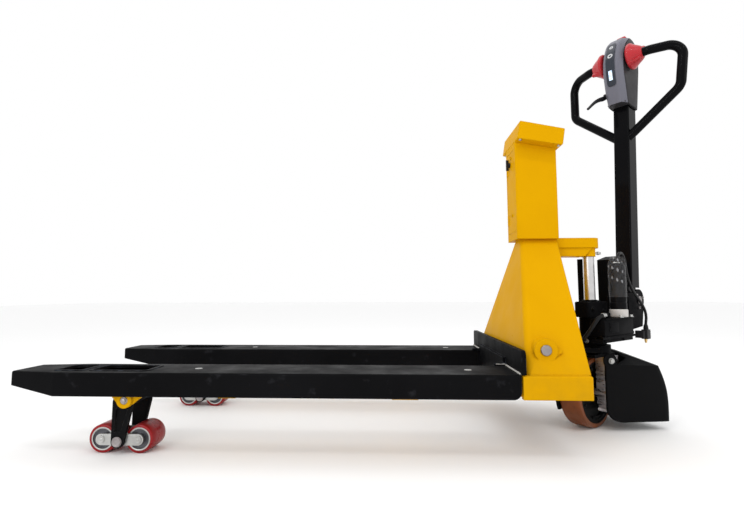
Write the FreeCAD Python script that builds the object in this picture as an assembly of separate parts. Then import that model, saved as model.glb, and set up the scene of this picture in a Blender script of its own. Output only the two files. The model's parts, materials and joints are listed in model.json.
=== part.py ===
"""Electric pallet truck with a weighing fork platform: one STEP file per sub-part, millimetres, +Z up.

X runs from the fork tips to the operator, Y across the truck and Z up from the floor.
The forks are raised and the power unit is turned by STEER_REST, which is the rest pose.
"""
import FreeCAD, Part
import math
import os

V = FreeCAD.Vector

# ---- forks and chassis -----------------------------------------------------------------------
FORK_LENGTH = 1186.0
FORK_WIDTH = 136.0
OVERALL_WIDTH = 576.0
FORK_TOP = 193.0
FORK_BOTTOM = 139.0
FORK_Y = (OVERALL_WIDTH - FORK_WIDTH) / 2
SHELL_WALL = 5.0
TIP_INSET = 18.0
TIP_LENGTH = 116.0
TIP_RISE = 21.0
WINDOW_SPANS = ((98.0, 160.0), (184.0, 318.0))
WINDOW_WIDTH = 70.0
SHELL_SCREW_X = (430.0, 1080.0)
INNER_HALF = 52.0
INNER_TOP = FORK_TOP - 15.0
CHEEK = 6.0
BASE_FRONT = 1190.0
BASE_REAR = 1342.0
BASE_TOP = 191.0
BASE_WALL = 6.0
CROSS_X = 1187.0
CROSS_TOP = 246.0

# ---- tower, indicator box and hood -----------------------------------------------------------
TOWER_TOP = 526.0
TOWER_FOOT = (1201.0, 1341.0, 278.0)
TOWER_HEAD = (1267.0, 1366.0, 33.0)
TOWER_WALL = 5.0
BOX_X0 = 1253.0
BOX_X1 = 1368.0
BOX_HALF = 50.0
BOX_WALL = 3.0
HOOD_SIDE = ((1260.0, 853.0), (1382.0, 828.0), (1375.0, 782.0), (1252.0, 804.0))
HOOD_HALF = 82.0
HOOD_WALL = 3.0

# ---- lift linkage ----------------------------------------------------------------------------
PIVOT_X = 1252.0
PIVOT_Z = 243.0
PIVOT_R = 12.45
RUNNING = 0.05
ROCKER_REAR = 140.5
ROCKER_SWING = 20.85
ROCKER_LOWER = 68.7
TUBE_R = 19.0
ROD_Y = 200.0
ROD_R = 7.0
LEVER_Y = 184.5
BRACKET_X = 280.0
BRACKET_Z = 128.0
BRACKET_PIN_R = 9.0
BRACKET_LEVER = 38.0
BRACKET_SWING = 40.04
BOGIE_X = 260.0
BOGIE_Z = 31.0
BOGIE_PIN_R = 9.0

# ---- load rollers ----------------------------------------------------------------------------
ROLLER_R = 33.3
ROLLER_BORE = 27.0
ROLLER_HALF = 30.0
ROLLER_PITCH = 89.0
AXLE_R = 8.0

# ---- power unit (its own frame: x rearward, y away from the near side, origin on the steer axis)
AXIS_X = 1466.0
STEER_REST = 40.0
WHEEL_R = 98.0
HUB_R = 85.0
TYRE_HALF = 29.0
WHEEL_Y = 20.0
WHEEL_NEAR = WHEEL_Y - TYRE_HALF
WHEEL_FAR = WHEEL_Y + TYRE_HALF
AXLE_END = 66.0
WHEEL_AXLE_R = 12.0
COLUMN_R = 30.0
PISTON_R = 15.0
PISTON_BOTTOM = 312.0
ARM_BOTTOM = 478.0
ARM_TOP = 530.0
BLOCK_BOTTOM = 307.0
BLOCK_TOP = 350.0
BLOCK_HALF = 21.0
MOTOR_X = 66.0
MOTOR_Y = -48.0
MOTOR_R = 22.0
MOTOR_FOOT = 328.0
MOTOR_TOP = 450.0
COVER_BOTTOM = 25.0
COVER_WALL = 4.0
COVER_FRONT = (-19.0, 46.0)
COVER_CORNER = (138.5, 146.0)
COVER_MIDDLE = 167.5
COVER_ROUND = 26.0
COVER_DRAW = ((25.0, 0.0), (95.0, 0.8), (135.0, 9.0), (178.0, 26.0), (225.0, 45.0))
# each side of the roof is the lower of two slopes: height at the axis, per mm rearward, per mm outward
COVER_ROOF = ((202.7, 0.225, -0.422), (231.6, -0.2, -0.285))
CHEEK_ALONG = (0.8445, 0.5355)

# ---- tiller (its own frame: z up the mast, origin on the mast's centre line) -----------------
TILLER_X = 244.0
TILLER_Z = 330.0
TILLER_LEAN = 3.8
HINGE_UP = 22.0
MAST_DEEP = 56.0
MAST_HALF = 24.0
MAST_TOP = 760.0
HANDLE_R = 14.0
HANDLE_X = -42.0
HANDLE_Z = 815.0
HEAD_HALF = 32.0
HEAD_TOP = 909.0
KNOB_R = 42.0

# ---- hose and cable, by their routes in the power unit's frame -------------------------------
HOSE_R = 5.0
HOSE_ROUTE = ((-42, -60, 314), (-72, -60, 314), (-89, -50, 288), (-89, -28, 256), (-68, -4, 241),
              (-38, -4, 241))
CABLE_R = 4.0
CABLE_ROUTE = ((76, -48, 466), (76, -48, 474), (82, -47, 486), (97, -46, 492), (112, -46, 488),
               (123, -45, 475), (130, -45, 457), (136, -44, 436), (147, -44, 411), (168, -44, 387),
               (196, -44, 366), (226, -45, 345), (250, -46, 322), (258, -46, 298), (250, -46, 279),
               (250, -46, 262))

# the floor point under the middle of the whole truck becomes the origin
ORIGIN = V(-907.8, -23.2, 0.0)


# ---- helpers ---------------------------------------------------------------------------------
def box(x0, x1, y0, y1, z0, z1):
    return Part.makeBox(x1 - x0, y1 - y0, z1 - z0, V(x0, y0, z0))


def cyl(x, y, z, radius, length, axis=(0, 0, 1)):
    return Part.makeCylinder(radius, length, V(x, y, z), V(*axis))


def cyl_y(x, z, radius, y0, y1):
    return cyl(x, y0, z, radius, y1 - y0, (0, 1, 0))


def ring_y(x, z, outer, inner, y0, y1):
    return cyl_y(x, z, outer, y0, y1).cut(cyl_y(x, z, inner, y0 - 1, y1 + 1))


def face_of(points):
    return Part.Face(Part.makePolygon(list(points) + [points[0]]))


def prism_y(outline, y0, y1):
    """Side outline of (x, z) points carried from y0 to y1."""
    return face_of([V(x, y0, z) for x, z in outline]).extrude(V(0, y1 - y0, 0))


def prism_z(outline, z0, z1):
    """Plan outline of (x, y) points carried from z0 to z1."""
    return face_of([V(x, y, z0) for x, y in outline]).extrude(V(0, 0, z1 - z0))


def joined(first, *others):
    return first.multiFuse(list(others)).removeSplitter()


def group(*solids):
    return Part.makeCompound([solid for shape in solids for solid in shape.Solids])


def mirrored(shape):
    return shape.mirror(V(0, 0, 0), V(0, 1, 0))


def slot_y(x0, z0, x1, z1, radius, y0, y1):
    """A bar with round ends between two points of a side view."""
    along = V(x1 - x0, 0, z1 - z0)
    side = V(-along.z, 0, along.x).normalize() * radius
    start = V(x0, y0, z0)
    end = V(x1, y0, z1)
    web = face_of([start + side, end + side, end - side, start - side]).extrude(V(0, y1 - y0, 0))
    return joined(web, cyl_y(x0, z0, radius, y0, y1), cyl_y(x1, z1, radius, y0, y1))


def edges_along(shape, axis, keep):
    """Straight edges that run along an axis and whose middle passes the test."""
    found = []
    for edge in shape.Edges:
        ends = edge.Vertexes
        if len(ends) != 2:
            continue
        way = (ends[1].Point - ends[0].Point).normalize()
        if abs(way.dot(axis)) > 0.9 and keep((ends[0].Point + ends[1].Point) * 0.5):
            found.append(edge)
    return found


def tube(points, radius, bend):
    """Round bar along straight runs joined by tangent arcs; bend is the arcs' radius."""
    corners = [V(*point) for point in points]
    edges = []
    start = corners[0]
    for before, corner, after in zip(corners, corners[1:], corners[2:]):
        back = (before - corner).normalize()
        ahead = (after - corner).normalize()
        half = back.getAngle(ahead) / 2
        reach = bend / math.tan(half)
        middle = corner + (back + ahead).normalize() * (bend / math.sin(half) - bend)
        edges.append(Part.makeLine(start, corner + back * reach))
        edges.append(Part.Arc(corner + back * reach, middle, corner + ahead * reach).toShape())
        start = corner + ahead * reach
    edges.append(Part.makeLine(start, corners[-1]))
    path = Part.Wire(edges)
    section = Part.Wire(Part.makeCircle(radius, corners[0], corners[1] - corners[0]))
    return path.makePipeShell([section], True, False)


def in_unit(shape):
    """Turn a shape of the power unit to its rest place on the truck."""
    placed = shape.copy()
    placed.rotate(V(0, 0, 0), V(0, 0, 1), STEER_REST)
    placed.translate(V(AXIS_X, 0, 0))
    return placed


def in_tiller(shape):
    """Lean a shape of the tiller back and put it on the power unit."""
    placed = shape.copy()
    placed.rotate(V(0, 0, 0), V(0, 1, 0), TILLER_LEAN)
    placed.translate(V(TILLER_X, 0, TILLER_Z))
    return in_unit(placed)


# ---- forks -----------------------------------------------------------------------------------
def shell_block(inset, top, bottom, rear):
    """Fork outline with a narrowed, upswept tip, inset on every side."""
    half = FORK_WIDTH / 2 - inset
    tip = half - TIP_INSET
    plan = prism_z([(inset, -tip), (TIP_LENGTH, -half), (rear, -half), (rear, half),
                    (TIP_LENGTH, half), (inset, tip)], bottom, top)
    sweep = prism_y([(-1, bottom - 1), (TIP_LENGTH, bottom - 1), (TIP_LENGTH, bottom),
                     (-1, bottom + TIP_RISE)], -FORK_WIDTH, FORK_WIDTH)
    return plan.cut(sweep)


def weigh_shell():
    """Black pressed platform that covers one fork, open underneath and at the heel."""
    block = shell_block(0.0, FORK_TOP, FORK_BOTTOM, FORK_LENGTH)
    long_top = edges_along(block, V(1, 0, 0), lambda p: p.z > FORK_TOP - 1)
    heel = edges_along(block, V(0, 1, 0), lambda p: p.x > FORK_LENGTH - 1 and p.z < FORK_BOTTOM + 1)
    block = block.makeFillet(SHELL_WALL, long_top)
    heel = edges_along(block, V(0, 1, 0), lambda p: p.x > FORK_LENGTH - 1 and p.z < FORK_BOTTOM + 1)
    block = block.makeFillet(18.0, heel)
    hollow = shell_block(SHELL_WALL, FORK_TOP - SHELL_WALL, FORK_BOTTOM - 1, FORK_LENGTH + 1)
    shell = block.cut(hollow)
    for x0, x1 in WINDOW_SPANS:
        shell = shell.fuse(window_frame(x0, x1, 8.0, FORK_TOP + 1.5))
        shell = shell.cut(window_frame(x0, x1, 0.0, FORK_TOP + 3))
    for x in SHELL_SCREW_X:
        shell = shell.cut(cyl(x, 0, FORK_TOP - 3, 9.0, 5))
        shell = shell.cut(cyl(x, 0, FORK_TOP - 8, 5.0, 9))
    return shell.removeSplitter()


def window_frame(x0, x1, rim, top):
    half = WINDOW_WIDTH / 2 + rim
    plate = box(x0 - rim, x1 + rim, -half, half, FORK_TOP - SHELL_WALL - 1 + bool(rim), top)
    return plate.makeFillet(8.0 + rim, edges_along(plate, V(0, 0, 1), lambda p: True))


def inner_frame():
    """Yellow lifting fork inside the platform: two cheeks and a top plate."""
    cheek = prism_y([(64, 149), (120, 143), (1195, 143), (1195, INNER_TOP), (64, INNER_TOP)],
                    INNER_HALF - CHEEK, INNER_HALF)
    cheek = joined(cheek, prism_y([(240, 144), (264, 117), (296, 117), (330, 144)],
                                  INNER_HALF - CHEEK, INNER_HALF),
                   cyl_y(BRACKET_X, BRACKET_Z, 18.0, INNER_HALF - CHEEK, INNER_HALF + 5))
    plate = box(64, 1195, -INNER_HALF, INNER_HALF, INNER_TOP - CHEEK, INNER_TOP)
    plate = plate.cut(box(85, 345, CHEEK - INNER_HALF, INNER_HALF - CHEEK, 100, FORK_TOP))
    frame = joined(plate, cheek, mirrored(cheek),
                   box(500, 540, -INNER_HALF, INNER_HALF, 134, 143),
                   box(900, 960, -INNER_HALF, INNER_HALF, 134, 143))
    return frame.cut(cyl_y(BRACKET_X, BRACKET_Z, BRACKET_PIN_R, -70, 70))


def bracket_pivot():
    pin = cyl_y(BRACKET_X, BRACKET_Z, BRACKET_PIN_R, -INNER_HALF - 6, INNER_HALF + 6)
    return pin.makeChamfer(1.5, [edge for edge in pin.Edges if edge.Closed])


def load_cells():
    """Beam load cells between the inner fork and the platform."""
    cells = []
    for x in SHELL_SCREW_X:
        cell = box(x - 60, x + 60, -14, 14, INNER_TOP, INNER_TOP + 9.8)
        cell = cell.cut(cyl_y(x - 12, INNER_TOP + 4.9, 3.2, -20, 20))
        cell = cell.cut(cyl_y(x + 12, INNER_TOP + 4.9, 3.2, -20, 20))
        cells.append(cell.cut(cyl(x, 0, INNER_TOP - 1, 5.0, 12)))
    return group(*cells)


def shell_screws():
    screws = []
    for x in SHELL_SCREW_X:
        head = cyl(x, 0, FORK_TOP - 3, 8.9, 3)
        stem = cyl(x, 0, INNER_TOP + 1, 4.9, 12.5)
        socket = cyl(x, 0, FORK_TOP - 1.5, 3.0, 3)
        screws.append(joined(head, stem).cut(socket))
    return group(*screws)


def on_fork(shape, side):
    placed = shape.copy()
    placed.translate(V(0, side * FORK_Y, 0))
    return placed


def on_both_forks(shape):
    return group(on_fork(shape, 1), on_fork(shape, -1))


# ---- roller bracket, bogie and rollers -------------------------------------------------------
def lever_point(length, degrees):
    """Point on a lever, its angle counted from straight up towards the operator."""
    turn = math.radians(degrees)
    return length * math.sin(turn), length * math.cos(turn)


def bracket_pin_point():
    dx, dz = lever_point(BRACKET_LEVER, -BRACKET_SWING)
    return BRACKET_X + dx, BRACKET_Z + dz


def roller_bracket():
    """Cast fork that carries the bogie: two ribbed arms, a web and the push-rod lever."""
    outline = [(BRACKET_X - 30, BRACKET_Z + 9), (BRACKET_X + 15, BRACKET_Z + 9),
               (BRACKET_X + 12, BRACKET_Z - 20), (BOGIE_X + 15, BOGIE_Z), (BOGIE_X - 15, BOGIE_Z),
               (BRACKET_X - 34, BRACKET_Z - 4)]
    arm = joined(prism_y(outline, 37, 45), cyl_y(BOGIE_X, BOGIE_Z, 15.0, 37, 45),
                 cyl_y(BRACKET_X, BRACKET_Z, 17.0, 37, 45))
    pocket = prism_y([(BRACKET_X - 25, BRACKET_Z - 20), (BRACKET_X + 3, BRACKET_Z - 22),
                      (BOGIE_X + 7, BOGIE_Z + 22), (BOGIE_X - 8, BOGIE_Z + 22)], 41, 46)
    arm = arm.cut(pocket)
    web = prism_y([(BRACKET_X - 28, BRACKET_Z - 3), (BRACKET_X + 6, BRACKET_Z - 3),
                   (BRACKET_X + 4, BRACKET_Z - 14), (BRACKET_X - 27, BRACKET_Z - 14)], -38, 38)
    pin_x, pin_z = bracket_pin_point()
    lever = slot_y(BRACKET_X, BRACKET_Z, pin_x, pin_z, 11.0, LEVER_Y - FORK_Y, LEVER_Y - FORK_Y + 8)
    hub = cyl_y(BRACKET_X, BRACKET_Z, 15.0, -45, 45)
    body = joined(hub, arm, mirrored(arm), web, lever)
    body = body.cut(cyl_y(BRACKET_X, BRACKET_Z, BRACKET_PIN_R + RUNNING, -60, 60))
    body = body.cut(cyl_y(BOGIE_X, BOGIE_Z, BOGIE_PIN_R + RUNNING, -60, 60))
    return body.fuse(cyl_y(pin_x, pin_z, 6.0, LEVER_Y - FORK_Y, ROD_Y - FORK_Y + 6)).removeSplitter()


def bogie_pin():
    pin = cyl_y(BOGIE_X, BOGIE_Z, BOGIE_PIN_R, -49, 49)
    heads = [ring_y(BOGIE_X, BOGIE_Z, 10.5, BOGIE_PIN_R, y, y + 3) for y in (-49, 46)]
    return joined(pin, *heads)


def axle_x(end):
    return BOGIE_X + end * ROLLER_PITCH / 2


def bogie_links():
    """Two link plates with the two roller axles pressed in."""
    links = []
    for y in (31.0, -36.0):
        plate = slot_y(axle_x(-1), ROLLER_R, axle_x(1), ROLLER_R, 13.0, y, y + 5)
        plate = plate.cut(cyl_y(BOGIE_X, BOGIE_Z, BOGIE_PIN_R + RUNNING, y - 1, y + 6))
        for end in (-1, 1):
            plate = plate.cut(cyl_y(axle_x(end), ROLLER_R, AXLE_R, y - 1, y + 6))
        links.append(plate)
    return group(*links)


def roller_axles():
    axles = [cyl_y(axle_x(end), ROLLER_R, AXLE_R, -36.8, 36.8) for end in (-1, 1)]
    return group(*axles)


def roller_tyre(end):
    tyre = ring_y(axle_x(end), ROLLER_R, ROLLER_R, ROLLER_BORE, -ROLLER_HALF, ROLLER_HALF)
    rims = [e for e in tyre.Edges if e.Closed and e.Length > 2 * math.pi * ROLLER_R - 1]
    return tyre.makeFillet(2.0, rims)


def roller_hub(end):
    """Steel sleeve with a seat for a ball bearing at each end."""
    sleeve = ring_y(axle_x(end), ROLLER_R, ROLLER_BORE, 23.5, -ROLLER_HALF, ROLLER_HALF)
    return joined(sleeve, ring_y(axle_x(end), ROLLER_R, 24.0, 19.0, -18, 18))


def roller_bearings(end):
    rings = []
    for y in (-ROLLER_HALF + 2, ROLLER_HALF - 12):
        ring = ring_y(axle_x(end), ROLLER_R, 23.5, AXLE_R + RUNNING, y, y + 10)
        for face in (y - 1, y + 9):
            ring = ring.cut(ring_y(axle_x(end), ROLLER_R, 19.0, 13.0, face, face + 2))
        rings.append(ring)
    return group(*rings)


# ---- lift linkage ----------------------------------------------------------------------------
def rocker():
    """Bell crank on the main shaft: pivot tube with two rear arms that carry the carriage."""
    swing = math.radians(ROCKER_SWING)
    rear_x = PIVOT_X + ROCKER_REAR * math.cos(swing)
    rear_z = PIVOT_Z - ROCKER_REAR * math.sin(swing)
    parts = [cyl_y(PIVOT_X, PIVOT_Z, TUBE_R, -196, 196)]
    for side in (-1, 1):
        y0, y1 = sorted((side * 64.0, side * 76.0))
        parts.append(slot_y(PIVOT_X, PIVOT_Z, rear_x, rear_z, 13.0, y0, y1))
    crank = joined(*parts).cut(cyl_y(PIVOT_X, PIVOT_Z, PIVOT_R + RUNNING, -200, 200))
    inner_x = PIVOT_X + (ROCKER_REAR - 10) * math.cos(swing)
    inner_z = PIVOT_Z - (ROCKER_REAR - 10) * math.sin(swing)
    return crank.cut(slot_y(inner_x, inner_z, rear_x, rear_z, 9.1, -80, 80))


def rocker_levers():
    """Lever and pin welded under each end of the pivot tube, for the push rods."""
    swing = math.radians(ROCKER_SWING)
    low_x = PIVOT_X - ROCKER_LOWER * math.sin(swing)
    low_z = PIVOT_Z - ROCKER_LOWER * math.cos(swing)
    plate = slot_y(PIVOT_X, PIVOT_Z, low_x, low_z, 12.0, LEVER_Y - 2, LEVER_Y + 8)
    plate = plate.cut(cyl_y(PIVOT_X, PIVOT_Z, TUBE_R, -200, 200))
    lever = joined(plate, cyl_y(low_x, low_z, 6.0, LEVER_Y - 2, ROD_Y + 6))
    return group(lever, mirrored(lever))


def push_rod():
    """Rod between rocker and roller bracket, with an upright slot at each eye."""
    swing = math.radians(ROCKER_SWING)
    rear_x = PIVOT_X - ROCKER_LOWER * math.sin(swing)
    rear_z = PIVOT_Z - ROCKER_LOWER * math.cos(swing)
    front_x, front_z = bracket_pin_point()
    y = ROD_Y
    level = front_z + 6
    rod = cyl(front_x + 8, y, level, ROD_R, rear_x - front_x - 16, (1, 0, 0))
    front_eye = slot_y(front_x, front_z - 1, front_x, front_z + 10, 10.0, y - 4, y + 4)
    rear_eye = slot_y(rear_x, rear_z + 1, rear_x, rear_z - 6, 10.0, y - 4, y + 4)
    body = joined(rod, front_eye, rear_eye)
    body = body.cut(slot_y(front_x, front_z, front_x, front_z + 9.6, 7.1, y - 20, y + 20))
    return body.cut(slot_y(rear_x, rear_z, rear_x, rear_z - 5.2, 6.4, y - 20, y + 20))


def pivot_shaft():
    shaft = cyl_y(PIVOT_X, PIVOT_Z, PIVOT_R, -259, 259)
    return shaft.makeChamfer(1.0, [edge for edge in shaft.Edges if edge.Closed])


# ---- chassis ---------------------------------------------------------------------------------
def tower_solid(inset, z0, z1):
    """Four-sided tower body narrowing upwards, inset by a wall."""
    rows = []
    for z in (z0, z1):
        t = (z - BASE_TOP) / (TOWER_TOP - BASE_TOP)
        x0, x1, half = [foot + (head - foot) * t for foot, head in zip(TOWER_FOOT, TOWER_HEAD)]
        corners = [V(x0 + inset, inset - half, z), V(x1 - inset, inset - half, z),
                   V(x1 - inset, half - inset, z), V(x0 + inset, half - inset, z)]
        rows.append(Part.makePolygon(corners + [corners[0]]))
    solid = Part.makeLoft(rows, True, True)
    front = edges_along(solid, V(0, -0.6, 0.8), lambda p: p.x < 1260)
    front += edges_along(solid, V(0, 0.6, 0.8), lambda p: p.x < 1260)
    return solid.makeFillet(15.0 - inset, front)


def tower():
    """Yellow tower: bent plate on four sides, with the shaft bosses and a rear slot for the rocker."""
    body = tower_solid(0.0, BASE_TOP, TOWER_TOP).cut(tower_solid(TOWER_WALL, BASE_TOP - 20, TOWER_TOP - 5))
    boss = joined(cyl_y(PIVOT_X, PIVOT_Z, 27.0, 190, 256),
                  prism_y([(PIVOT_X + 12, PIVOT_Z + 24), (PIVOT_X + 40, PIVOT_Z - 4),
                           (PIVOT_X + 12, PIVOT_Z - 24)], 190, 252))
    boss = boss.cut(tower_solid(TOWER_WALL, BASE_TOP - 20, TOWER_TOP - 5))
    body = joined(body, boss, mirrored(boss))
    body = body.cut(cyl_y(PIVOT_X, PIVOT_Z, PIVOT_R, -300, 300))
    return body.cut(box(1310, 1380, -84, 84, BASE_TOP - 10, 306))


def base_frame():
    """Yellow cross member under the tower, open below, with an opening for each inner fork."""
    half = OVERALL_WIDTH / 2
    block = box(BASE_FRONT, BASE_REAR, -half, half, FORK_BOTTOM, BASE_TOP)
    corners = edges_along(block, V(0, 0, 1), lambda p: p.x > BASE_REAR - 1)
    corners += edges_along(block, V(0, 1, 0), lambda p: p.x > BASE_REAR - 1 and p.z > BASE_TOP - 1)
    corners += edges_along(block, V(1, 0, 0), lambda p: p.z > BASE_TOP - 1)
    block = block.makeFillet(5.0, corners)
    frame = block.cut(box(BASE_FRONT + BASE_WALL, BASE_REAR - BASE_WALL, BASE_WALL - half,
                          half - BASE_WALL, FORK_BOTTOM - 1, BASE_TOP - BASE_WALL))
    frame = frame.cut(box(1210, 1334, -222, 222, 170, BASE_TOP + 1))
    frame = frame.cut(box(1300, BASE_REAR + 1, -80, 80, BASE_TOP - 13, BASE_TOP + 1))
    for side in (-1, 1):
        y = side * FORK_Y
        frame = frame.cut(box(BASE_FRONT - 1, BASE_FRONT + BASE_WALL + 1, y - INNER_HALF, y + INNER_HALF,
                              FORK_BOTTOM - 1, INNER_TOP))
    return frame


def cross_plate():
    """Black heel plate that joins the two platforms, with a deeper middle between the forks."""
    half = OVERALL_WIDTH / 2
    plate = box(CROSS_X, CROSS_X + 10, -half, half, FORK_TOP, CROSS_TOP)
    plate = plate.makeFillet(12.0, edges_along(plate, V(1, 0, 0), lambda p: p.z > CROSS_TOP - 1))
    gap = FORK_Y - FORK_WIDTH / 2 - 0.5
    apron = box(CROSS_X - 8, CROSS_X + 2, -gap, gap, 146, FORK_TOP + 20)
    ribs = [box(CROSS_X - 30, CROSS_X + 1, y, y + 6, FORK_TOP, FORK_TOP + 6) for y in (-gap - 4, gap - 2)]
    return joined(plate, apron, *ribs)


def lift_arm():
    """Yellow arm over the piston: a round-ended top slab, a box web and a boss."""
    slab = joined(box(1330, AXIS_X, -27, 27, 502, ARM_TOP), cyl(AXIS_X, 0, 502, 27.0, ARM_TOP - 502))
    web = prism_y([(1330, ARM_BOTTOM), (AXIS_X - 18, ARM_BOTTOM), (AXIS_X + 4, 502), (1330, 502)], -23, 23)
    boss = cyl(AXIS_X, 0, ARM_BOTTOM, 19.0, 26)
    arm = joined(slab, web, boss).cut(tower_solid(0.0, BASE_TOP, TOWER_TOP))
    arm = arm.cut(box(BOX_X0 - 1, BOX_X1 + 0.5, -60, 60, TOWER_TOP, TOWER_TOP + 40))
    arm = max(arm.Solids, key=lambda solid: solid.Volume)
    return arm.cut(cyl(AXIS_X + 12, 0, 488, 3.0, 12, (1, 0, 0)))


def grease_nipple():
    stem = cyl(AXIS_X + 13, 0, 488, 3.0, 12, (1, 0, 0))
    neck = cyl(AXIS_X + 25, 0, 488, 5.0, 5, (1, 0, 0))
    return joined(stem, neck, cyl(AXIS_X + 30, 0, 488, 3.5, 5, (1, 0, 0)))


def lift_piston():
    rod = cyl(AXIS_X, 0, PISTON_BOTTOM, PISTON_R - RUNNING, ARM_BOTTOM - PISTON_BOTTOM)
    return rod.makeChamfer(1.0, [edge for edge in rod.Edges if edge.Closed])


# ---- indicator box and hood ------------------------------------------------------------------
def under_hood(x):
    (x0, z0), (x1, z1) = HOOD_SIDE[3], HOOD_SIDE[2]
    return z0 + (z1 - z0) * (x - x0) / (x1 - x0)


def box_outline(inset):
    x0 = BOX_X0 + inset
    x1 = BOX_X1 - inset
    low = TOWER_TOP + inset
    return [(x0, low), (x1, low), (x1, under_hood(x1) - inset), (x0, under_hood(x0) - inset)]


def indicator_box():
    """Yellow folded housing on the tower, with a door opening on the fork side."""
    case = prism_y(box_outline(0.0), -BOX_HALF, BOX_HALF)
    case = case.makeFillet(4.0, edges_along(case, V(0, 0, 1), lambda p: True))
    case = case.cut(prism_y(box_outline(BOX_WALL), BOX_WALL - BOX_HALF, BOX_HALF - BOX_WALL))
    return case.cut(box(BOX_X0 - 1, BOX_X0 + 4, -38.5, 38.5, 548, 786))


def box_door():
    panel = box(BOX_X0 + 0.2, BOX_X0 + 2.2, -38, 38, 548.5, 785.5)
    hinge = cyl(BOX_X0 + 1.4, 36.2, 560, 1.4, 210)
    for z in (600.0, 770.0):
        panel = panel.cut(cyl(BOX_X0 - 1, -4, z, 2.5, 8, (1, 0, 0)))
    panel = panel.cut(cyl(BOX_X0 - 1, 8, 752, 5.0, 8, (1, 0, 0)))
    return joined(panel, hinge)


def door_screws():
    screws = []
    for z in (600.0, 770.0):
        head = cyl(BOX_X0 - 2.8, -4, z, 4.5, 3, (1, 0, 0))
        screws.append(joined(head, cyl(BOX_X0, -4, z, 2.5, 6, (1, 0, 0))))
    return group(*screws)


def door_latch():
    """Wing knob on the door, with its cam behind it."""
    stem = cyl(BOX_X0 - 4, 8, 752, 4.95, 9, (1, 0, 0))
    wing = box(BOX_X0 - 11, BOX_X0 - 3.5, 5.5, 10.5, 736, 768)
    wing = wing.makeFillet(2.0, edges_along(wing, V(1, 0, 0), lambda p: True))
    cam = box(BOX_X0 + 4.6, BOX_X0 + 6.6, 3, 13, 740, 764)
    return joined(stem, wing, cam)


def hood():
    """Tilted yellow head of the indicator, a deep tray with the display in its top face."""
    slab = prism_y(HOOD_SIDE, -HOOD_HALF, HOOD_HALF)
    slab = slab.makeFillet(3.0, edges_along(slab, V(0, 1, 0), lambda p: True))
    centre = V(1317.0, 0, 817.0)
    hollow = box(1264, 1370, HOOD_WALL - HOOD_HALF, HOOD_HALF - HOOD_WALL, 797, 837)
    hollow.rotate(centre, V(0, 1, 0), hood_tilt())
    recess = box(1271, 1363, -62, 62, 836, 860)
    recess.rotate(centre, V(0, 1, 0), hood_tilt())
    slab = slab.cut(hollow).cut(recess)
    for x, y in hood_screw_places():
        slab = slab.cut(hood_screw(x, y))
    return slab


def hood_tilt():
    (x0, z0), (x1, z1) = HOOD_SIDE[0], HOOD_SIDE[1]
    return math.degrees(math.atan2(z0 - z1, x1 - x0))


def indicator_panel():
    panel = box(1271.4, 1362.6, -61.6, 61.6, 837.2, 840.4)
    panel = panel.cut(box(1280, 1318, -46, 46, 838.6, 842))
    panel.rotate(V(1317.0, 0, 817.0), V(0, 1, 0), hood_tilt())
    return panel


def indicator_screen():
    screen = box(1280.4, 1317.6, -45.6, 45.6, 838.6, 840.0)
    screen.rotate(V(1317.0, 0, 817.0), V(0, 1, 0), hood_tilt())
    return screen


def hood_screw_places():
    return [(x, y) for x in (1262.0, 1366.0) for y in (-74.0, 74.0)]


def hood_screw(x, y):
    return joined(cyl(x, y, under_hood(x) - 3.5, 4.0, 4), cyl(x, y, under_hood(x) - 1, 2.0, 7))


def hood_screws():
    return group(*[hood_screw(x, y) for x, y in hood_screw_places()])


def battery_pack():
    pack = box(BOX_X0 + 14, BOX_X1 - 6, -44, 44, TOWER_TOP + 3, TOWER_TOP + 190)
    pack = pack.makeFillet(3.0, edges_along(pack, V(0, 0, 1), lambda p: True))
    posts = [cyl(BOX_X0 + 40, y, TOWER_TOP + 190, 5.0, 10) for y in (-25, 25)]
    return joined(pack, *posts)


# ---- carriage and drive wheel ----------------------------------------------------------------
def carriage():
    """Bearing housing the power unit turns in; its arms reach forward to the rocker."""
    swing = math.radians(ROCKER_SWING)
    pin_x = PIVOT_X + ROCKER_REAR * math.cos(swing) - AXIS_X
    pin_z = PIVOT_Z - ROCKER_REAR * math.sin(swing)
    collar = cyl(0, 0, 212, 48.0, 18)
    parts = [collar, box(-70, 0, -63, 63, 214, 226)]
    for side in (-1, 1):
        y0, y1 = sorted((side * 51.0, side * 63.0))
        parts.append(prism_y([(-70, 226), (-40, 226), (-56, 208), (pin_x + 13, pin_z - 4),
                              (pin_x - 13, pin_z), (pin_x - 8, pin_z + 12)], y0, y1))
        parts.append(cyl_y(pin_x, pin_z, 13.0, y0, y1))
    body = joined(*parts).cut(cyl(0, 0, 200, COLUMN_R + RUNNING, 40))
    body = body.cut(cyl_y(pin_x, pin_z, 8.0, -70, 70))
    body.translate(V(AXIS_X, 0, 0))
    return body


def carriage_pins():
    swing = math.radians(ROCKER_SWING)
    pin_x = PIVOT_X + ROCKER_REAR * math.cos(swing)
    pin_z = PIVOT_Z - ROCKER_REAR * math.sin(swing)
    return group(cyl_y(pin_x, pin_z, 8.0, 51, 80), cyl_y(pin_x, pin_z, 8.0, -80, -51))


def thrust_bearing():
    rings = [cyl(0, 0, z, 44.0, 2.2).cut(cyl(0, 0, z - 1, COLUMN_R, 5)) for z in (207.2, 209.6)]
    return in_unit(group(*rings))


def drive_tyre():
    tyre = ring_y(0, WHEEL_R, WHEEL_R, HUB_R, WHEEL_NEAR, WHEEL_FAR)
    rims = [e for e in tyre.Edges if e.Closed and e.Length > 2 * math.pi * WHEEL_R - 1]
    return in_unit(tyre.makeFillet(5.0, rims))


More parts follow.
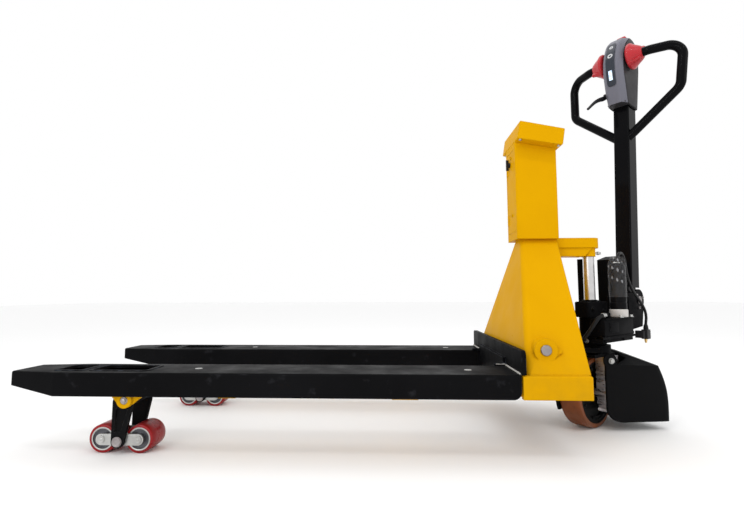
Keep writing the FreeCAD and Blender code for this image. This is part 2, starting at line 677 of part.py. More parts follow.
def drive_hub():
    """Dished wheel body."""
    rim = ring_y(0, WHEEL_R, HUB_R, 74.0, WHEEL_NEAR + 1, WHEEL_FAR - 1)
    web = ring_y(0, WHEEL_R, 75.0, WHEEL_AXLE_R + RUNNING, WHEEL_Y - 22, WHEEL_Y + 14)
    rib = ring_y(0, WHEEL_R, 75.0, 66.0, WHEEL_Y - 26, WHEEL_Y + 18)
    return in_unit(joined(rim, web, rib))


def motor_casing():
    """Cast casing of the drive motor and gears; it hangs from the crown beside the wheel."""
    y0, y1 = -44.5, -12.0
    case = prism_y([(-8, 199), (-8, 92), (-4, 70), (4, 54), (16, 46), (34, 46), (48, 58), (56, 82),
                    (58, 199)], y0, y1)
    for z in (158.0, 147.0, 134.0, 78.0):
        case = case.cut(box(-9, -4, y0 - 1, y1 + 1, z, z + 4))
        case = case.cut(box(54, 59, y0 - 1, y1 + 1, z, z + 4))
    stud = cyl_y(0, 53, 4.5, y0 - 1.5, y1)
    screw = cyl_y(-4, 72, 4.0, y1 - 12, y1)
    return in_unit(joined(case, stud, screw).cut(cyl_y(0, WHEEL_R, WHEEL_AXLE_R, -50, 0)))


def wheel_axle():
    return in_unit(cyl_y(0, WHEEL_R, WHEEL_AXLE_R, -44, AXLE_END))


def wheel_yoke():
    """Crown over the wheel with a leg and a round guard on the far side."""
    leg_y, guard_y = WHEEL_FAR + 8, WHEEL_FAR + 4
    crown = box(-58, 58, -37, AXLE_END, 199, 207).common(cyl(0, 0, 199, 74.0, 8))
    leg = prism_y([(-30, 202), (30, 202), (22, 74), (-22, 74)], leg_y, AXLE_END)
    guard = cyl_y(0, WHEEL_R, 102.0, guard_y, leg_y)
    for x0, x1, z0, z1 in ((-110, 110, -10, 52), (20, 110, 40, 210), (-110, 110, 165, 210)):
        guard = guard.cut(box(x0, x1, guard_y - 1, leg_y + 1, z0, z1))
    yoke = joined(crown, leg, guard)
    return in_unit(yoke.cut(cyl_y(0, WHEEL_R, WHEEL_AXLE_R, -60, 80)))


# ---- power unit ------------------------------------------------------------------------------
def steer_column():
    """Cylinder body of the lift pump, which is also the steering pivot."""
    column = cyl(0, 0, 207, COLUMN_R, BLOCK_BOTTOM - 207)
    collar = cyl(0, 0, 231, 38.0, 20)
    return in_unit(joined(column, collar).cut(cyl(0, 0, 209, PISTON_R + 0.5, 110)))


def pump_block():
    block = box(-50, 62, -BLOCK_HALF, BLOCK_HALF, BLOCK_BOTTOM, BLOCK_TOP)
    block = block.makeFillet(7.0, edges_along(block, V(0, 0, 1), lambda p: True))
    block = block.makeFillet(4.0, edges_along(block, V(0, 1, 0), lambda p: p.z > BLOCK_TOP - 1))
    return in_unit(block.cut(cyl(0, 0, 300, PISTON_R, 60)))


def unit_flange():
    """Plate on the column that carries the pump set and the tiller bracket."""
    plate = prism_z([(-44, -34), (-84, -72), (108, -72), (112, -34), (205, -30), (205, 30), (60, 34),
                     (-44, 34)], 251.5, 258)
    plate = plate.cut(cyl(0, 0, 240, COLUMN_R, 30))
    return in_unit(plate)


def pump_housing():
    """Valve and tank block beside the column."""
    block = box(-68, 104, -70, -32, 258, 303)
    block = block.makeFillet(4.0, edges_along(block, V(0, 0, 1), lambda p: True))
    foot = box(-78, 100, -69, -40, 242, 251.5)
    return in_unit(group(block, foot))


def pump_top_plate():
    return in_unit(box(-66, 102, -73, -31, 303, 306))


def motor_ring():
    ring = cyl(MOTOR_X, MOTOR_Y, 306, MOTOR_R + 2, MOTOR_FOOT - 306)
    return in_unit(ring.makeFillet(2.0, [ring.Edges[0]]))


def pump_motor():
    motor = cyl(MOTOR_X, MOTOR_Y, MOTOR_FOOT, MOTOR_R, MOTOR_TOP - MOTOR_FOOT)
    cap = cyl(MOTOR_X, MOTOR_Y, MOTOR_TOP, MOTOR_R - 2.5, 8)
    posts = [cyl(MOTOR_X + dx, MOTOR_Y, MOTOR_TOP + 8, 3.0, 8) for dx in (-10, 10)]
    return in_unit(joined(motor, cap, *posts))


def tiller_bracket():
    """Folded stand behind the pump that holds the tiller's hinge between two ears."""
    stand = prism_y([(96, 258), (205, 258), (205, 300), (196, 380), (190, 464), (150, 487), (96, 474)],
                    -BLOCK_HALF, BLOCK_HALF)
    stand = stand.cut(prism_y([(100, 262), (240, 262), (240, 330), (192, 380), (186, 461), (148, 482),
                               (100, 470)],
                              4 - BLOCK_HALF, BLOCK_HALF - 4))
    hinge_x, hinge_z = hinge_point()
    parts = [stand]
    for side in (-1, 1):
        y0, y1 = sorted((side * 25.6, side * 33.0))
        parts.append(prism_y([(170, 262), (262, 270), (hinge_x + 34, hinge_z), (hinge_x - 20, hinge_z + 28),
                              (170, 372)], y0, y1))
        parts.append(cyl_y(hinge_x, hinge_z, 34.0, y0, y1))
        y0, y1 = sorted((side * (BLOCK_HALF - 0.5), side * 26.0))
        parts.append(box(172, 194, y0, y1, 268, 366))
    body = joined(*parts)
    return in_unit(body.cut(cyl_y(hinge_x, hinge_z, 9.0, -45, 45)))


def hinge_point():
    """Tiller hinge in the power unit's frame."""
    lean = math.radians(TILLER_LEAN)
    return TILLER_X + HINGE_UP * math.sin(lean), TILLER_Z + HINGE_UP * math.cos(lean)


def tiller_hinge_pin():
    hinge_x, hinge_z = hinge_point()
    pin = cyl_y(hinge_x, hinge_z, 9.0, -37, 37)
    return in_unit(pin.makeChamfer(1.0, [edge for edge in pin.Edges if edge.Closed]))


def tiller_springs():
    hinge_x, hinge_z = hinge_point()
    coils = []
    for y in (-25.2, -23.0, 21.0, 23.2):
        coils.append(ring_y(hinge_x, hinge_z, 14.0, 10.0, y, y + 2.0))
    return in_unit(group(*coils))


def controller():
    body = box(104, 182, -15, 15, 276, 360)
    fins = [box(182, 190, y, y + 3, 280, 356) for y in (-13.5, -7.5, -1.5, 4.5, 10.5)]
    return in_unit(joined(body, *fins))


def cover_stay():
    """Upright bar for the front cover, on a foot beside the pump block."""
    bar = box(40, 46, 36, 54, 262, 476)
    foot = box(20, 46, 21, 58, 316, 322)
    return in_unit(joined(bar, foot))


def cover_plan(inset, z, draw):
    """Plan outline of the rear cover at one height; the draw brings its rear forward."""
    x = COVER_CORNER[0] - CHEEK_ALONG[0] * draw - 0.45 * inset
    y = COVER_CORNER[1] - CHEEK_ALONG[1] * draw - 1.47 * inset
    front = COVER_FRONT[1] - 1.18 * inset
    bend = COVER_ROUND - inset
    middle = COVER_MIDDLE - 0.85 * draw - inset
    sides = []
    for side in (-1, 1):
        corner = V(x, side * y, z)
        on_cheek = V(x - CHEEK_ALONG[0] * bend, side * (y - CHEEK_ALONG[1] * bend), z)
        on_rear = V(x + 0.38 * bend, side * (y - 0.93 * bend), z)
        turn = Part.BezierCurve()
        turn.setPoles([on_cheek, corner, on_rear])
        sides.append((V(COVER_FRONT[0], side * front, z), on_cheek, turn.toShape(), on_rear))
    near, far = sides
    rear = Part.Arc(near[3], V(middle, 0, z), far[3]).toShape()
    edges = [Part.makeLine(near[0], near[1]), near[2], rear, far[2], Part.makeLine(far[1], far[0]),
             Part.makeLine(far[0], near[0])]
    return Part.Wire(Part.sortEdges(edges)[0])


def cover_solid(inset):
    rows = [cover_plan(inset, z, draw) for z, draw in COVER_DRAW]
    return Part.makeLoft(rows, True, False)


def cover_roof(drop):
    """Space above the cover's crowned top."""
    spaces = []
    for height, rearward, outward in COVER_ROOF:
        points = [V(x, y, height - drop + rearward * x + outward * y)
                  for x, y in ((-60, 0), (220, 0), (220, 220), (-60, 220))]
        space = face_of(points).extrude(V(0, 0, 200))
        spaces += [space, mirrored(space)]
    return joined(*spaces)


def rear_cover():
    """Black moulded cover around the rear of the drive wheel, open to the front and below."""
    body = cover_solid(0.0).cut(cover_roof(0.0))
    hollow = cover_solid(COVER_WALL).cut(cover_roof(COVER_WALL))
    below = cover_plan(COVER_WALL, COVER_BOTTOM, 0.0)
    below = Part.Face(below).extrude(V(0, 0, -20))
    body = body.cut(hollow).cut(below)
    body = body.cut(box(-30, 68, -60, 60, COVER_BOTTOM - 5, 260).cut(cover_cheeks()))
    toe = box(-30, 19, -160, 160, COVER_BOTTOM - 5, COVER_BOTTOM + 38)
    toe = toe.cut(cyl_y(19, COVER_BOTTOM + 38, 38.0, -170, 170))
    body = body.cut(toe).cut(box(-30, 40, 0, 160, COVER_BOTTOM - 5, 260))
    body = joined(body, fixing_tab())
    return in_unit(max(body.Solids, key=lambda solid: solid.Volume))


def fixing_tab():
    """Round ear at the near cheek's upper front corner, flush with the cheek."""
    out = V(-CHEEK_ALONG[1], -CHEEK_ALONG[0], 0)
    return cyl(-8 - COVER_WALL * out.x, -53 - COVER_WALL * out.y, 190, 19.0, COVER_WALL, (out.x, out.y, 0))


def cover_cheeks():
    """Zone of the two side walls ahead of the roof."""
    zone = cover_solid(-1.0)
    return zone.cut(cover_solid(COVER_WALL + 0.2))


# ---- hose and cable --------------------------------------------------------------------------
def cord(points, radius):
    """Flexible line along a hand-picked route: each corner's arc is as large as its runs allow."""
    corners = [V(*point) for point in points]
    edges = []
    start = corners[0]
    for before, corner, after in zip(corners, corners[1:], corners[2:]):
        back = before - corner
        ahead = after - corner
        reach = 0.45 * min(back.Length, ahead.Length)
        half = back.getAngle(ahead) / 2
        bend = reach * math.tan(half)
        back.normalize()
        ahead.normalize()
        middle = corner + (back + ahead).normalize() * (bend / math.sin(half) - bend)
        edges.append(Part.makeLine(start, corner + back * reach))
        edges.append(Part.Arc(corner + back * reach, middle, corner + ahead * reach).toShape())
        start = corner + ahead * reach
        print("  bend radius", round(bend, 1))
    edges.append(Part.makeLine(start, corners[-1]))
    path = Part.Wire(edges)
    section = Part.Wire(Part.makeCircle(radius, corners[0], corners[1] - corners[0]))
    line = path.makePipeShell([section], True, False)
    share = line.Volume / (math.pi * radius ** 2 * path.Length)
    print("  length", round(path.Length, 1), "volume ratio", round(share, 3))
    return line


def hydraulic_hose():
    return in_unit(cord(HOSE_ROUTE, HOSE_R))


def hose_banjo():
    """Swivel fitting on the pump housing that the hose leaves from."""
    x, y, z = HOSE_ROUTE[0]
    post = cyl(x + 14, y, 306, 7.0, 15)
    return in_unit(joined(post, cyl(x, y, z, 5.5, 10, (1, 0, 0))))


def power_cable():
    return in_unit(cord(CABLE_ROUTE, CABLE_R))


def power_connector():
    """Plug-in connector behind the tiller bracket, on a small angle plate."""
    x, y, z = CABLE_ROUTE[-1]
    shell = box(x - 14, x + 12, y - 9, y + 9, z - 30, z)
    shell = shell.makeFillet(2.5, edges_along(shell, V(0, 0, 1), lambda p: True))
    return in_unit(joined(shell, box(x - 26, x - 13, y - 3, y + 21.8, z - 26, z - 4)))


# ---- tiller ----------------------------------------------------------------------------------
def tiller_mast():
    """Rectangular tube with a solid foot around the hinge."""
    deep = MAST_DEEP / 2
    tube_outer = box(-deep, deep, -MAST_HALF, MAST_HALF, 62, MAST_TOP)
    tube_outer = tube_outer.makeFillet(4.0, edges_along(tube_outer, V(0, 0, 1), lambda p: True))
    tube_inner = box(3 - deep, deep - 3, 3 - MAST_HALF, MAST_HALF - 3, 80, MAST_TOP + 1)
    foot = joined(cyl_y(0, HINGE_UP, 27.0, -13, 13), box(-26, 26, -13, 13, HINGE_UP, 62))
    mast = joined(tube_outer.cut(tube_inner), foot)
    return in_tiller(mast.cut(cyl_y(0, HINGE_UP, 9.0 + RUNNING, -20, 20)))


def handle_route():
    near = [(-12, -14, 553), (-6, -166, 679), (2, -175, 822), (HANDLE_X, -92, HANDLE_Z)]
    return near + [(x, -y, z) for x, y, z in reversed(near)]


def handle_loop():
    """One bent tube: across the head, around each hand loop and back to the mast."""
    bar = tube(handle_route(), HANDLE_R, 38.0)
    deep = MAST_DEEP / 2
    return in_tiller(bar.cut(box(-deep, deep, -MAST_HALF, MAST_HALF, 500, 620)))


def head_profile(inset, back):
    """Side outline of the control head; back moves its front edge rearward."""
    front = [(-66, 660), (-85, 712), (-97, 760), (-99, 800), (-92, 830), (-79, 864), (-54, 889)]
    rear = [(-12, 908), (10, 908), (30, 888), (44, 852), (46, 800), (38, 730), (33, 662)]
    lift = (660 + inset, HEAD_TOP - inset)
    points = [(x + inset + back, min(max(z, lift[0]), lift[1])) for x, z in front]
    return points + [(x - inset, min(max(z, lift[0]), lift[1])) for x, z in rear]


def head_solid(inset):
    """Control head with its front corners drawn back."""
    middle = 20.0 - inset / 2
    side = HEAD_HALF - inset
    core = prism_y(head_profile(inset, 0), -middle, middle)
    rows = []
    for y, back in ((middle, 0), (side, 20)):
        corners = [V(x, y, z) for x, z in head_profile(inset, back)]
        rows.append(Part.makePolygon(corners + [corners[0]]))
    cheek = Part.makeLoft(rows, True, True)
    return joined(core, cheek, mirrored(cheek))


def head_shell():
    """Hollow head with openings for the mast, the handle sleeve, the switch and the buttons."""
    deep = MAST_DEEP / 2
    shell = head_solid(0.0).cut(head_solid(3.5))
    shell = shell.cut(box(-deep, deep, -MAST_HALF, MAST_HALF, 650, 700))
    shell = shell.cut(cyl_y(HANDLE_X, HANDLE_Z, 15.6, -40, 40))
    shell = shell.cut(box(-22.6, 22.6, -17.6, 17.6, HEAD_TOP - 30, HEAD_TOP + 10))
    for index in (0, 1):
        shell = shell.cut(button_well(index))
    return shell


def front_zone():
    return prism_y([(-200, 640), (-38, 640), (-60, 712), (-74, 760), (-76, 805), (-66, 845), (-44, 880),
                    (-40, 960), (-200, 960)], -60, 60)


def head_front():
    return in_tiller(head_shell().common(front_zone()))


def head_rear():
    return in_tiller(head_shell().cut(front_zone()))


BUTTONS = ((-96.3, 812.0, -0.974, 0.227, 8.5), (-86.5, 845.0, -0.938, 0.346, 6.5))


def button_cylinder(index, radius, start, end):
    x, z, nx, nz, _ = BUTTONS[index]
    return cyl(x + nx * start, 0, z + nz * start, radius, end - start, (nx, 0, nz))


def button_well(index):
    return button_cylinder(index, BUTTONS[index][4] + 0.4, -12, 6)


def panel_button(index):
    """Round push button with a collar behind the panel."""
    return button_cylinder(index, BUTTONS[index][4], -9, 3.5)


def control_panel():
    """Dark membrane on the front of the head."""
    edge = [(-85.2, 712.5), (-97, 760), (-99, 800), (-92, 830), (-79.6, 862.5)]
    outer = [(x - 1.4, z) for x, z in edge]
    panel = prism_y(edge + outer[::-1], -14, 14)
    for index in (0, 1):
        panel = panel.cut(button_well(index))
    return in_tiller(panel)


def control_screen():
    edge = [(-91.6, 732.5), (-97.4, 755.5), (-99.0, 770.0), (-101.0, 770.0), (-99.4, 755.0), (-93.6, 732.0)]
    screen = prism_y([(x - 1.0, z) for x, z in edge], -8.5, 8.5)
    return in_tiller(screen)


def throttle_knobs():
    """Two red butterfly knobs on one sleeve that turns on the handle tube."""
    outline = [(HANDLE_R + 0.4, 35.5), (36, 34), (KNOB_R, 38), (KNOB_R, 46), (34, 56), (22, 74), (17.5, 78),
               (HANDLE_R + 0.4, 78)]
    cone = face_of([V(HANDLE_X + r, y, HANDLE_Z) for r, y in outline])
    knob = cone.revolve(V(HANDLE_X, 0, HANDLE_Z), V(0, 1, 0), 360)
    paddle = prism_z([(HANDLE_X - 7, 40), (HANDLE_X + 7, 40), (HANDLE_X + 6, 76), (HANDLE_X - 6, 76)],
                     HANDLE_Z + 14, HANDLE_Z + 46)
    knob = joined(knob, paddle)
    sleeve = ring_y(HANDLE_X, HANDLE_Z, 15.0, HANDLE_R + 0.4, -38, 38)
    return in_tiller(joined(knob, mirrored(knob), sleeve))


def finger_lever():
    """Curved release lever on the far side of the head."""
    hub = cyl_y(-52, 703, 8.0, 32.5, 41)
    bar = tube([(-50, 37, 703), (-92, 44, 676), (-132, 58, 640)], 4.5, 60.0)
    return in_tiller(joined(hub, bar))


def belly_switch():
    cap = box(-22, 22, -17, 17, HEAD_TOP - 13, HEAD_TOP + 7)
    cap = cap.makeFillet(5.0, edges_along(cap, V(0, 1, 0), lambda p: p.z > HEAD_TOP + 6))
    return in_tiller(cap)


NODES = {}


def fork_set():
    """The sub-parts of the left fork by name; the right fork is their mirror image."""
    parts = {"weigh_shell": weigh_shell(), "inner_fork": inner_frame(), "roller_bracket": roller_bracket(),
             "bogie_pin": bogie_pin(), "bogie": group(bogie_links(), roller_axles())}
    for end, place in ((-1, "front"), (1, "rear")):
        parts["load_roller_" + place] = group(roller_tyre(end), roller_hub(end), roller_bearings(end))
    parts = {name: on_fork(shape, 1) for name, shape in parts.items()}
    parts["push_rod"] = push_rod()
    return parts


def build_forks():
    for name, shape in fork_set().items():
        NODES[name + "_left"] = shape
        NODES[name + "_right"] = mirrored(shape)
    NODES["load_cells"] = on_both_forks(load_cells())
    NODES["bracket_pivots"] = on_both_forks(bracket_pivot())


def build_chassis():
    NODES["tower"] = tower()
    NODES["base_frame"] = base_frame()
    NODES["cross_plate"] = cross_plate()
    NODES["lift_arm"] = lift_arm()
    NODES["chassis_fixings"] = group(on_both_forks(shell_screws()), hood_screws(), grease_nipple())
    NODES["lift_piston"] = lift_piston()
    NODES["pivot_shaft"] = pivot_shaft()
    NODES["rocker"] = group(rocker(), rocker_levers())
    NODES["indicator_box"] = indicator_box()
    NODES["box_door"] = group(box_door(), door_screws())
    NODES["door_latch"] = door_latch()
    NODES["hood"] = hood()
    NODES["indicator_display"] = group(indicator_panel(), indicator_screen())
    NODES["battery_pack"] = battery_pack()


def build_power_unit():
    NODES["carriage"] = group(carriage(), carriage_pins(), thrust_bearing())
    NODES["drive_tyre"] = drive_tyre()
    NODES["drive_hub"] = drive_hub()
    NODES["hub_motor"] = group(motor_casing(), wheel_axle())
    NODES["wheel_yoke"] = wheel_yoke()
    NODES["steer_column"] = steer_column()
    NODES["pump_block"] = pump_block()
    NODES["unit_flange"] = unit_flange()
    NODES["pump_housing"] = group(pump_housing(), pump_top_plate(), hose_banjo())
    NODES["pump_motor"] = group(pump_motor(), motor_ring())
    NODES["tiller_bracket"] = tiller_bracket()
    NODES["tiller_hinge"] = group(tiller_hinge_pin(), tiller_springs())
    NODES["controller"] = controller()
    NODES["cover_stay"] = cover_stay()
    NODES["rear_cover"] = rear_cover()
    NODES["hydraulic_hose"] = hydraulic_hose()
    NODES["power_cable"] = power_cable()
    NODES["power_connector"] = power_connector()


def build_tiller():
    NODES["tiller_mast"] = tiller_mast()
    NODES["handle_loop"] = handle_loop()
    NODES["head_front"] = head_front()
    NODES["head_rear"] = head_rear()
    NODES["control_panel"] = group(control_panel(), control_screen())
    NODES["throttle_knobs"] = throttle_knobs()
    NODES["finger_lever"] = finger_lever()
    NODES["belly_switch"] = belly_switch()
    NODES["horn_button"] = in_tiller(panel_button(0))
    NODES["speed_button"] = in_tiller(panel_button(1))


build_forks()
build_chassis()
build_power_unit()
build_tiller()
os.makedirs("parts", exist_ok=True)
for name, shape in NODES.items():
    shape.translate(ORIGIN)
    shape.exportStep("parts/" + name + ".step")
    print(name, len(shape.Solids), shape.isValid(), round(shape.Volume / 1000, 1))
print(len(NODES), "nodes")
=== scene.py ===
import json
import math
import bmesh
import bpy
from mathutils import Matrix, Vector


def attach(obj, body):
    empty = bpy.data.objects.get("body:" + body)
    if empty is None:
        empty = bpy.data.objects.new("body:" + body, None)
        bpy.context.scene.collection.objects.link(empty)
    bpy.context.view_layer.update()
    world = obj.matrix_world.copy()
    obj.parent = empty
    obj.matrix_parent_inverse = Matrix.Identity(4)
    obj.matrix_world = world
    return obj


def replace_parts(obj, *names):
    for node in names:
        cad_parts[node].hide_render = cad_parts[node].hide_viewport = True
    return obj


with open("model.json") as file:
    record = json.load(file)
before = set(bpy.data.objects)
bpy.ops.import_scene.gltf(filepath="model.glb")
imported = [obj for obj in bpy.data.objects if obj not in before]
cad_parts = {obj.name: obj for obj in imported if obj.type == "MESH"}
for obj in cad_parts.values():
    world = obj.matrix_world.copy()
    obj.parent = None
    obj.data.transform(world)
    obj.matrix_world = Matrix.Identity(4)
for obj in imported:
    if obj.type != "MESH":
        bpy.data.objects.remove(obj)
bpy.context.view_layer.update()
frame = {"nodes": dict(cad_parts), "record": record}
JOINTS = {joint["name"]: joint for joint in frame["record"]["behaviour"]["joints"]}
MM = 0.001
ROCKER_AXIS = (1252, 0, 243)
TILLER_SINK = 22


# ---- frames of the truck, of the turning power unit and of the tiller ---------------------------
def joint_at(name):
    return Vector(JOINTS[name]["pos_m"])


def truck_frame():
    origin = joint_at("rocker_swing") - Vector(ROCKER_AXIS) * MM
    return Matrix.Translation((origin.x, origin.y, 0))


def unit_frame():
    axis = Vector(JOINTS["drive_wheel_spin"]["axis"])
    point = joint_at("steer")
    point.z = 0
    return Matrix.Translation(point) @ Matrix.Rotation(math.atan2(-axis.x, axis.y), 4, "Z")


def tiller_frame():
    lean = math.acos(-Vector(JOINTS["belly_switch_press"]["axis"]).z)
    sink = Matrix.Translation((0, 0, -TILLER_SINK * MM))
    return UNIT @ Matrix.Translation(HINGE) @ Matrix.Rotation(lean, 4, "Y") @ sink


WORLD = Matrix.Identity(4)
TRUCK = truck_frame()
UNIT = unit_frame()
HINGE = UNIT.inverted() @ joint_at("tiller_tilt")
TILLER = tiller_frame()


def linked(name, data):
    thing = bpy.data.objects.new(name, data)
    bpy.context.scene.collection.objects.link(thing)
    return thing


# ---- camera, floor and light -------------------------------------------------------------------
CAMERA_PLACE = (0.90416, -1.28445, 0.37129)
FLOOR_LEFT, FLOOR_RIGHT, FLOOR_NEAR, FLOOR_FAR = -14, 14, -8, 20
# name, place, point aimed at, size and power of each lamp
LAMPS = (
    ("key", (-1.6, -2.6, 2.6), (0, 0, 0.4), (1.6, 1.2), 6),
    ("right", (2.8, -1.6, 1.8), (0.5, 0, 0.5), (1.0, 1.4), 6),
    ("top", (0.2, 0.4, 3.2), (0.1, 0, 0), (2.4, 1.2), 11),
    ("strip_left", (-1.5, -2.2, 1.2), (0.75, 0, 0.9), (0.04, 2.4), 12),
    ("strip_top", (0.3, -1.5, 2.8), (0.6, 0, 0.6), (2.8, 0.04), 12),
)


def add_camera():
    yaw, pitch, roll = -0.04753, 0.07883, -0.00271
    ahead = Vector((math.sin(yaw) * math.cos(pitch), math.cos(yaw) * math.cos(pitch), math.sin(pitch)))
    flat = Vector((math.cos(yaw), -math.sin(yaw), 0))
    top = flat.cross(ahead)
    right = flat * math.cos(roll) + top * math.sin(roll)
    up = top * math.cos(roll) - flat * math.sin(roll)
    data = bpy.data.cameras.new("camera")
    data.sensor_width = 36.0
    data.lens = 21.189
    data.clip_end = 50
    camera = linked("camera", data)
    turn = Matrix((right, up, -ahead)).transposed().to_4x4()
    camera.matrix_world = Matrix.Translation(TRUCK @ Vector(CAMERA_PLACE)) @ turn
    bpy.context.scene.camera = camera


def add_light(name, place, aim, size, power):
    data = bpy.data.lights.new(name, "AREA")
    data.shape = "RECTANGLE"
    data.size, data.size_y = size
    data.energy = power
    lamp = linked(name, data)
    lamp.location = place
    lamp.rotation_euler = (Vector(aim) - Vector(place)).to_track_quat("-Z", "Y").to_euler()


def add_stage():
    mesh = bpy.data.meshes.new("floor")
    mesh.from_pydata([(FLOOR_LEFT, FLOOR_NEAR, 0), (FLOOR_RIGHT, FLOOR_NEAR, 0),
                      (FLOOR_RIGHT, FLOOR_FAR, 0), (FLOOR_LEFT, FLOOR_FAR, 0)], [], [(0, 1, 2, 3)])
    floor = linked("floor", mesh)
    paint = bpy.data.materials.new("floor_pale")
    paint.use_nodes = True
    shader = paint.node_tree.nodes["Principled BSDF"]
    shader.inputs["Base Color"].default_value = (0.95, 0.95, 0.95, 1)
    shader.inputs["Roughness"].default_value = 0.75
    floor.data.materials.append(paint)
    world = bpy.data.worlds.new("studio")
    world.use_nodes = True
    background = world.node_tree.nodes["Background"]
    background.inputs["Color"].default_value = (1.0, 1.0, 1.0, 1)
    background.inputs["Strength"].default_value = 1.0
    bpy.context.scene.world = world
    bpy.context.scene.view_settings.view_transform = "Standard"
    for lamp in LAMPS:
        add_light(*lamp)


# ---- materials ---------------------------------------------------------------------------------
class Look:
    """One material: a Principled shader with object-space noise for colour, gloss and relief."""

    def __init__(self, name, colour, rough, metal=0.0, coat=0.0):
        self.material = bpy.data.materials.new(name)
        self.material.use_nodes = True
        self.tree = self.material.node_tree
        self.shader = self.tree.nodes["Principled BSDF"]
        self.colour = tuple(colour) + (1,)
        self.set("Base Color", self.colour)
        self.set("Roughness", rough)
        self.set("Metallic", metal)
        self.set("Coat Weight", coat)
        self.set("Coat Roughness", 0.08)
        self.set("IOR", 1.5)
        self.place = self.node("ShaderNodeTexCoord").outputs["Object"]
        self.tint = None
        self.normal = None
        self.rounded = None

    def set(self, socket, value):
        self.shader.inputs[socket].default_value = value

    def node(self, kind, **settings):
        made = self.tree.nodes.new(kind)
        for key, value in settings.items():
            setattr(made, key, value)
        return made

    def link(self, source, target):
        self.tree.links.new(source, target)

    def noise(self, scale, detail, stretch=(1, 1, 1)):
        shift = self.node("ShaderNodeMapping")
        shift.inputs["Scale"].default_value = stretch
        self.link(self.place, shift.inputs["Vector"])
        grain = self.node("ShaderNodeTexNoise")
        grain.inputs["Scale"].default_value = scale
        grain.inputs["Detail"].default_value = detail
        grain.inputs["Roughness"].default_value = 0.55
        self.link(shift.outputs["Vector"], grain.inputs["Vector"])
        return grain.outputs["Fac"]

    def ramp(self, source, low, high, start, end):
        band = self.node("ShaderNodeMapRange")
        band.inputs["From Min"].default_value = low
        band.inputs["From Max"].default_value = high
        band.inputs["To Min"].default_value = start
        band.inputs["To Max"].default_value = end
        self.link(source, band.inputs["Value"])
        return band.outputs["Result"]

    def tinted(self, mask, colour):
        mix = self.node("ShaderNodeMix", data_type="RGBA")
        mix.inputs["A"].default_value = self.colour
        if self.tint is not None:
            self.link(self.tint, mix.inputs["A"])
        mix.inputs["B"].default_value = tuple(colour) + (1,)
        self.link(mask, mix.inputs["Factor"])
        self.tint = mix.outputs["Result"]
        self.link(self.tint, self.shader.inputs["Base Color"])

    def gloss(self, low, high, scale, stretch=(1, 1, 1)):
        spread = self.ramp(self.noise(scale, 6, stretch), 0.3, 0.7, low, high)
        self.link(spread, self.shader.inputs["Roughness"])

    def relief(self, source, strength, depth):
        bump = self.node("ShaderNodeBump")
        bump.inputs["Strength"].default_value = strength
        bump.inputs["Distance"].default_value = depth
        self.link(source, bump.inputs["Height"])
        if self.normal is not None:
            self.link(self.normal, bump.inputs["Normal"])
        self.normal = bump.outputs["Normal"]
        self.link(self.normal, self.shader.inputs["Normal"])

    def soft_edges(self, radius):
        bevel = self.node("ShaderNodeBevel", samples=4)
        bevel.inputs["Radius"].default_value = radius
        self.rounded = bevel.outputs["Normal"]
        self.normal = self.rounded
        self.link(self.normal, self.shader.inputs["Normal"])

    def product(self, first, second):
        both = self.node("ShaderNodeMath", operation="MULTIPLY")
        self.link(first, both.inputs[0])
        self.link(second, both.inputs[1])
        return both.outputs["Value"]

    def worn_and_highlit_edges(self, colour):
        """Edge colour where the rounded normal leaves the true one, broken up by noise: partly worn paint,
        partly a painted highlight along the edges.
        """
        turn = self.node("ShaderNodeVectorMath", operation="DOT_PRODUCT")
        self.link(self.rounded, turn.inputs[0])
        self.link(self.node("ShaderNodeNewGeometry").outputs["True Normal"], turn.inputs[1])
        edge = self.ramp(turn.outputs["Value"], 0.97, 0.80, 0.0, 0.7)
        patch = self.ramp(self.noise(60.0, 5), 0.42, 0.62, 0.0, 1.0)
        self.tinted(self.product(edge, patch), colour)

    def darker_towards_bottom(self, colour, low, high, amount):
        """Darker colour, strongest at the lower of two heights and gone at the upper one, broken up by
        noise.
        """
        split = self.node("ShaderNodeSeparateXYZ")
        self.link(self.place, split.inputs["Vector"])
        fade = self.ramp(split.outputs["Z"], low, high, amount, 0.0)
        patch = self.ramp(self.noise(24.0, 8), 0.35, 0.75, 0.2, 1.0)
        self.tinted(self.product(fade, patch), colour)


def painted(name, colour, shade, rough, coat, edge, radius=0.0012, peel=0.05, gleam=0.2):
    look = Look(name, colour, rough, 0.0, coat)
    look.set("Specular IOR Level", gleam)
    look.soft_edges(radius)
    look.tinted(look.ramp(look.noise(5.0, 7), 0.35, 0.75, 0.0, 0.5), shade)
    # edge colour: worn paint and a painted highlight along the edges
    look.worn_and_highlit_edges(edge)
    look.gloss(rough * 0.8, rough * 1.35, 14.0)
    look.relief(look.noise(420.0, 2), peel, 0.0006)
    look.relief(look.noise(26.0, 3), peel * 1.5, 0.0015)
    return look


def plated(name, colour, rough, brush=(1, 1, 1), radius=0.0006):
    look = Look(name, colour, rough, 1.0)
    look.soft_edges(radius)
    look.tinted(look.ramp(look.noise(34.0, 8), 0.4, 0.75, 0.0, 0.6), [c * 0.55 for c in colour])
    look.gloss(rough * 0.7, rough * 1.6, 40.0, brush)
    look.relief(look.noise(300.0, 4, brush), 0.12, 0.0004)
    return look


def moulded(name, colour, rough, grain=900.0, strength=0.12, coat=0.0, spread=1.25, radius=0.0008,
            gleam=0.25):
    look = Look(name, colour, rough, 0.0, coat)
    look.set("Specular IOR Level", gleam)
    look.soft_edges(radius)
    look.tinted(look.ramp(look.noise(11.0, 6), 0.35, 0.75, 0.0, 0.5), [c * spread for c in colour])
    look.gloss(rough * 0.85, rough * 1.2, 20.0)
    look.relief(look.noise(grain, 3), strength, 0.0005)
    return look


